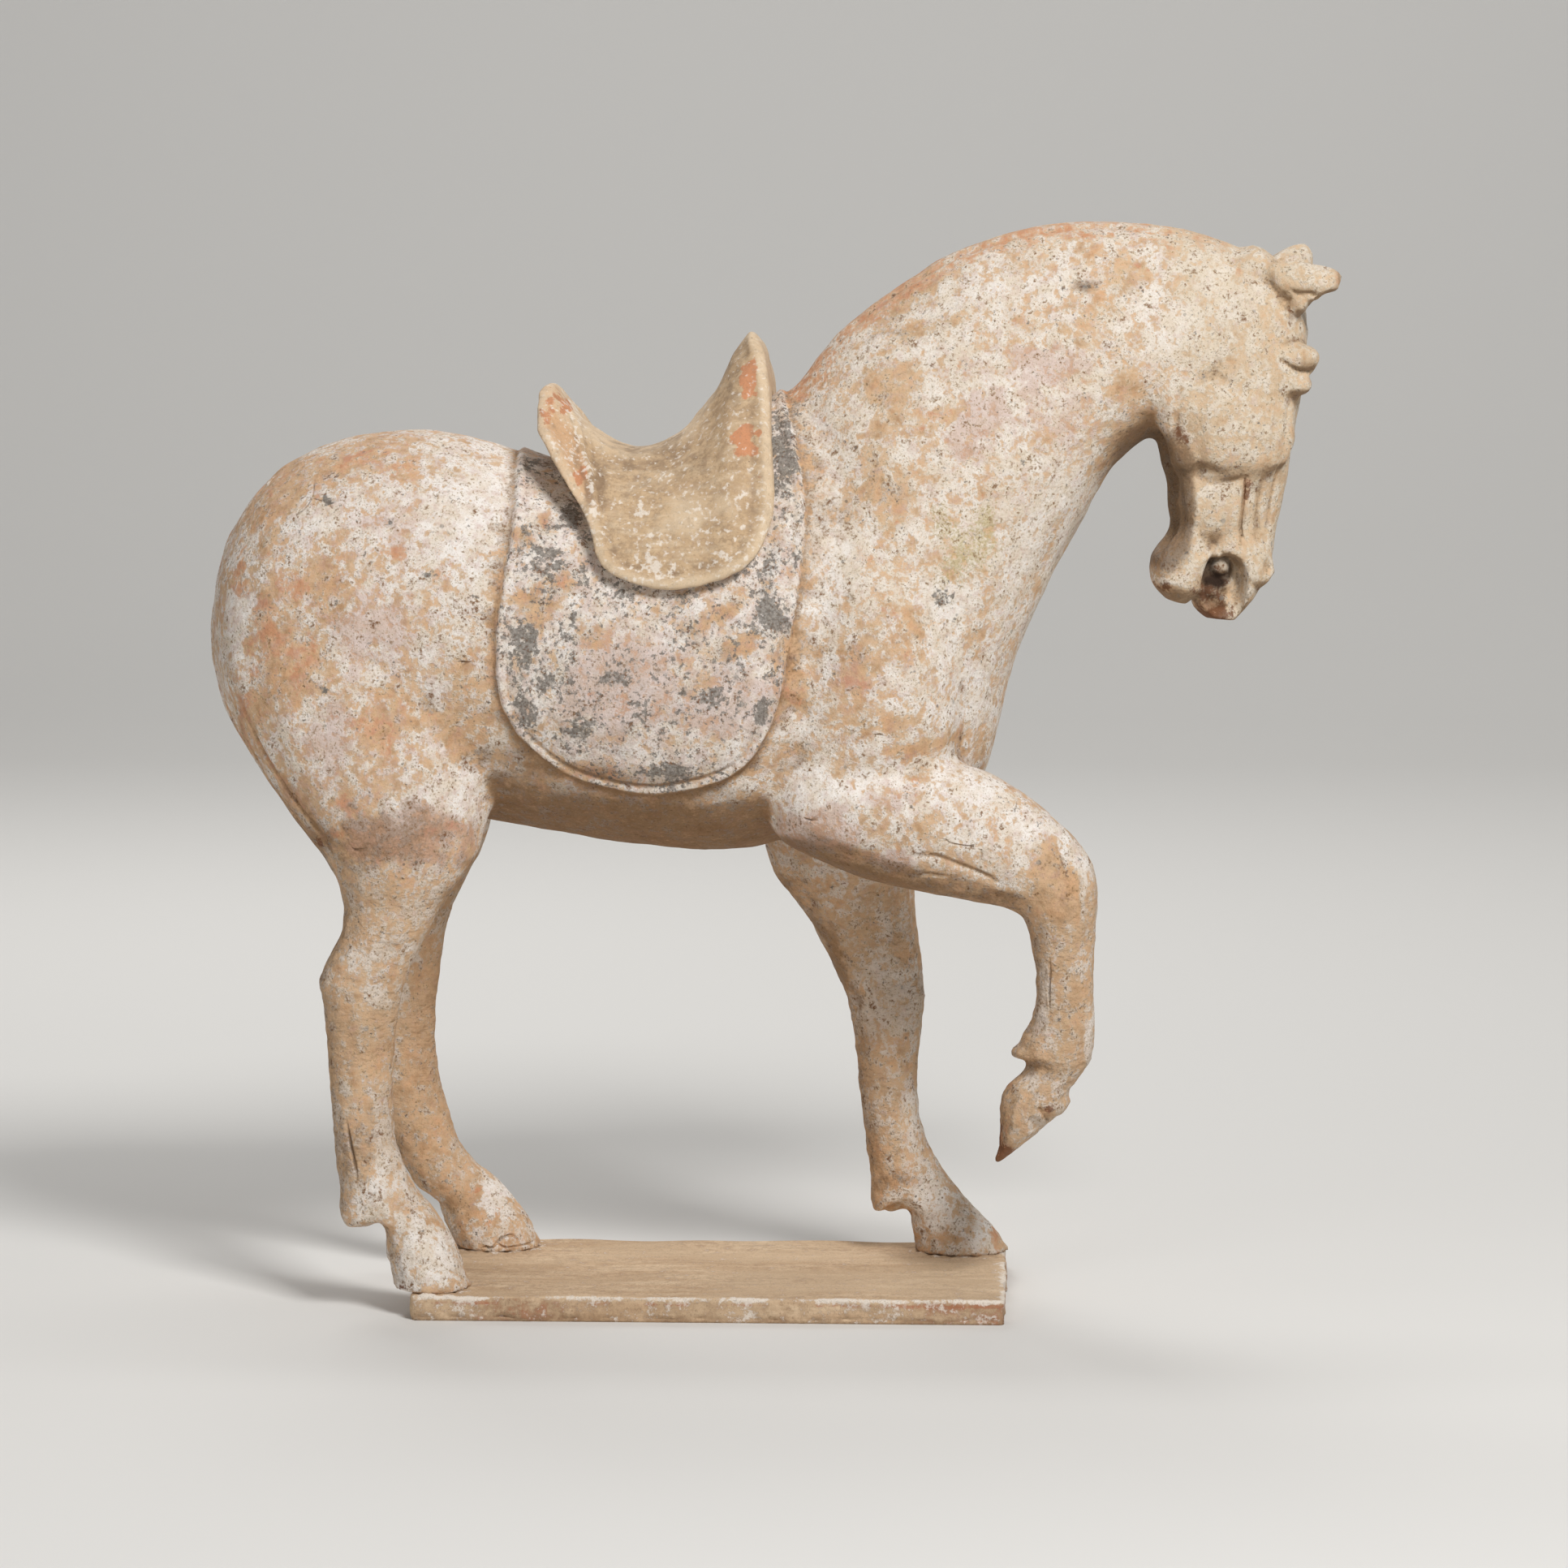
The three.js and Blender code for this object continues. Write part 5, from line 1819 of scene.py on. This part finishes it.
@dataclass(frozen=True)
class Studio:
    """A pale floor, soft lights and the camera at the photograph's viewing angle."""

    azimuth: float = 2.5
    elevation: float = 5.4
    distance: float = 2.2
    target: Place = (0.0288, 0.0, 0.2159)
    lens: float = 120.8
    floor_colour: str = "dddbd7"
    room_colour: str = "e8e8ea"
    room_light: float = 0.19
    lamps: tuple[Lamp, ...] = (
        Lamp("key", (0.85, -1.55, 1.7), 0.6, 44),
        Lamp("fill", (-1.7, -1.3, 0.9), 1.2, 6),
        Lamp("rim", (-0.6, 1.4, 1.6), 0.9, 10),
        Lamp("backdrop", (0.0, 1.2, 3.4), 2.0, 60, (0.0, 4.4, 1.2)),
    )

    def build(self) -> None:
        """Build the floor, the lights and the camera."""
        self._floor()
        for lamp in self.lamps:
            self._light(lamp)
        world = bpy.data.worlds.new("soft_room")
        world.use_nodes = True
        background = world.node_tree.nodes["Background"]
        background.inputs["Color"].default_value = linear(self.room_colour)
        background.inputs["Strength"].default_value = self.room_light
        bpy.context.scene.world = world
        bpy.context.scene.view_settings.view_transform = "Standard"
        self._camera()

    def _floor(self) -> None:
        """Lay a plain pale floor that curves up behind the object."""
        sweep = bmesh.new()
        width, front, back, rise, bend = 8.0, -5.0, 4.4, 5.0, 1.9
        quarter = np.linspace(0, math.pi / 2, 13)
        bow = [(back - bend + bend * math.sin(a), bend - bend * math.cos(a)) for a in quarter]
        line = [(front, 0.0), *bow, (back, rise)]
        verts = [sweep.verts.new((-width, y, z)) for y, z in line]
        edges = [sweep.edges.new(pair) for pair in zip(verts, verts[1:])]
        made = bmesh.ops.extrude_edge_only(sweep, edges=edges)["geom"]
        moved = [item for item in made if isinstance(item, bmesh.types.BMVert)]
        bmesh.ops.translate(sweep, vec=(2 * width, 0, 0), verts=moved)
        bmesh.ops.recalc_face_normals(sweep, faces=sweep.faces)
        mesh = bpy.data.meshes.new("floor")
        sweep.to_mesh(mesh)
        sweep.free()
        mesh.shade_smooth()
        mesh.materials.append(Coats("pale_paper", self.floor_colour).finish(0.95, 0.1))
        floor = bpy.data.objects.new("floor", mesh)
        bpy.context.scene.collection.objects.link(floor)

    def _light(self, lamp: Lamp) -> None:
        """Add one soft light.

        Args:
            lamp: The light.
        """
        area = bpy.data.lights.new(lamp.name, "AREA")
        area.size = lamp.size
        area.energy = lamp.power
        light = bpy.data.objects.new(lamp.name, area)
        light.location = lamp.place
        way = Vector(lamp.towards or self.target) - Vector(lamp.place)
        light.rotation_euler = way.to_track_quat("-Z", "Y").to_euler()
        bpy.context.scene.collection.objects.link(light)

    def _camera(self) -> None:
        """Set the camera where the photograph was taken from."""
        azimuth, elevation = math.radians(self.azimuth), math.radians(self.elevation)
        back = Vector((
            math.sin(azimuth) * math.cos(elevation),
            -math.cos(azimuth) * math.cos(elevation),
            math.sin(elevation),
        ))
        lens = bpy.data.cameras.new("camera")
        lens.lens = self.lens
        camera = bpy.data.objects.new("camera", lens)
        camera.location = Vector(self.target) + back * self.distance
        camera.rotation_euler = (-back).to_track_quat("-Z", "Y").to_euler()
        bpy.context.scene.collection.objects.link(camera)
        bpy.context.scene.camera = camera


def main() -> None:
    """Build the studio and every piece."""
    logging.basicConfig(level=logging.INFO, format="%(message)s", stream=sys.stdout)
    Studio().build()
    for part in (Slab(), Horse(), Saddle()):
        piece = part.build()
        log.info("%s is done", piece.name)


if __name__ == "__main__":
    main()
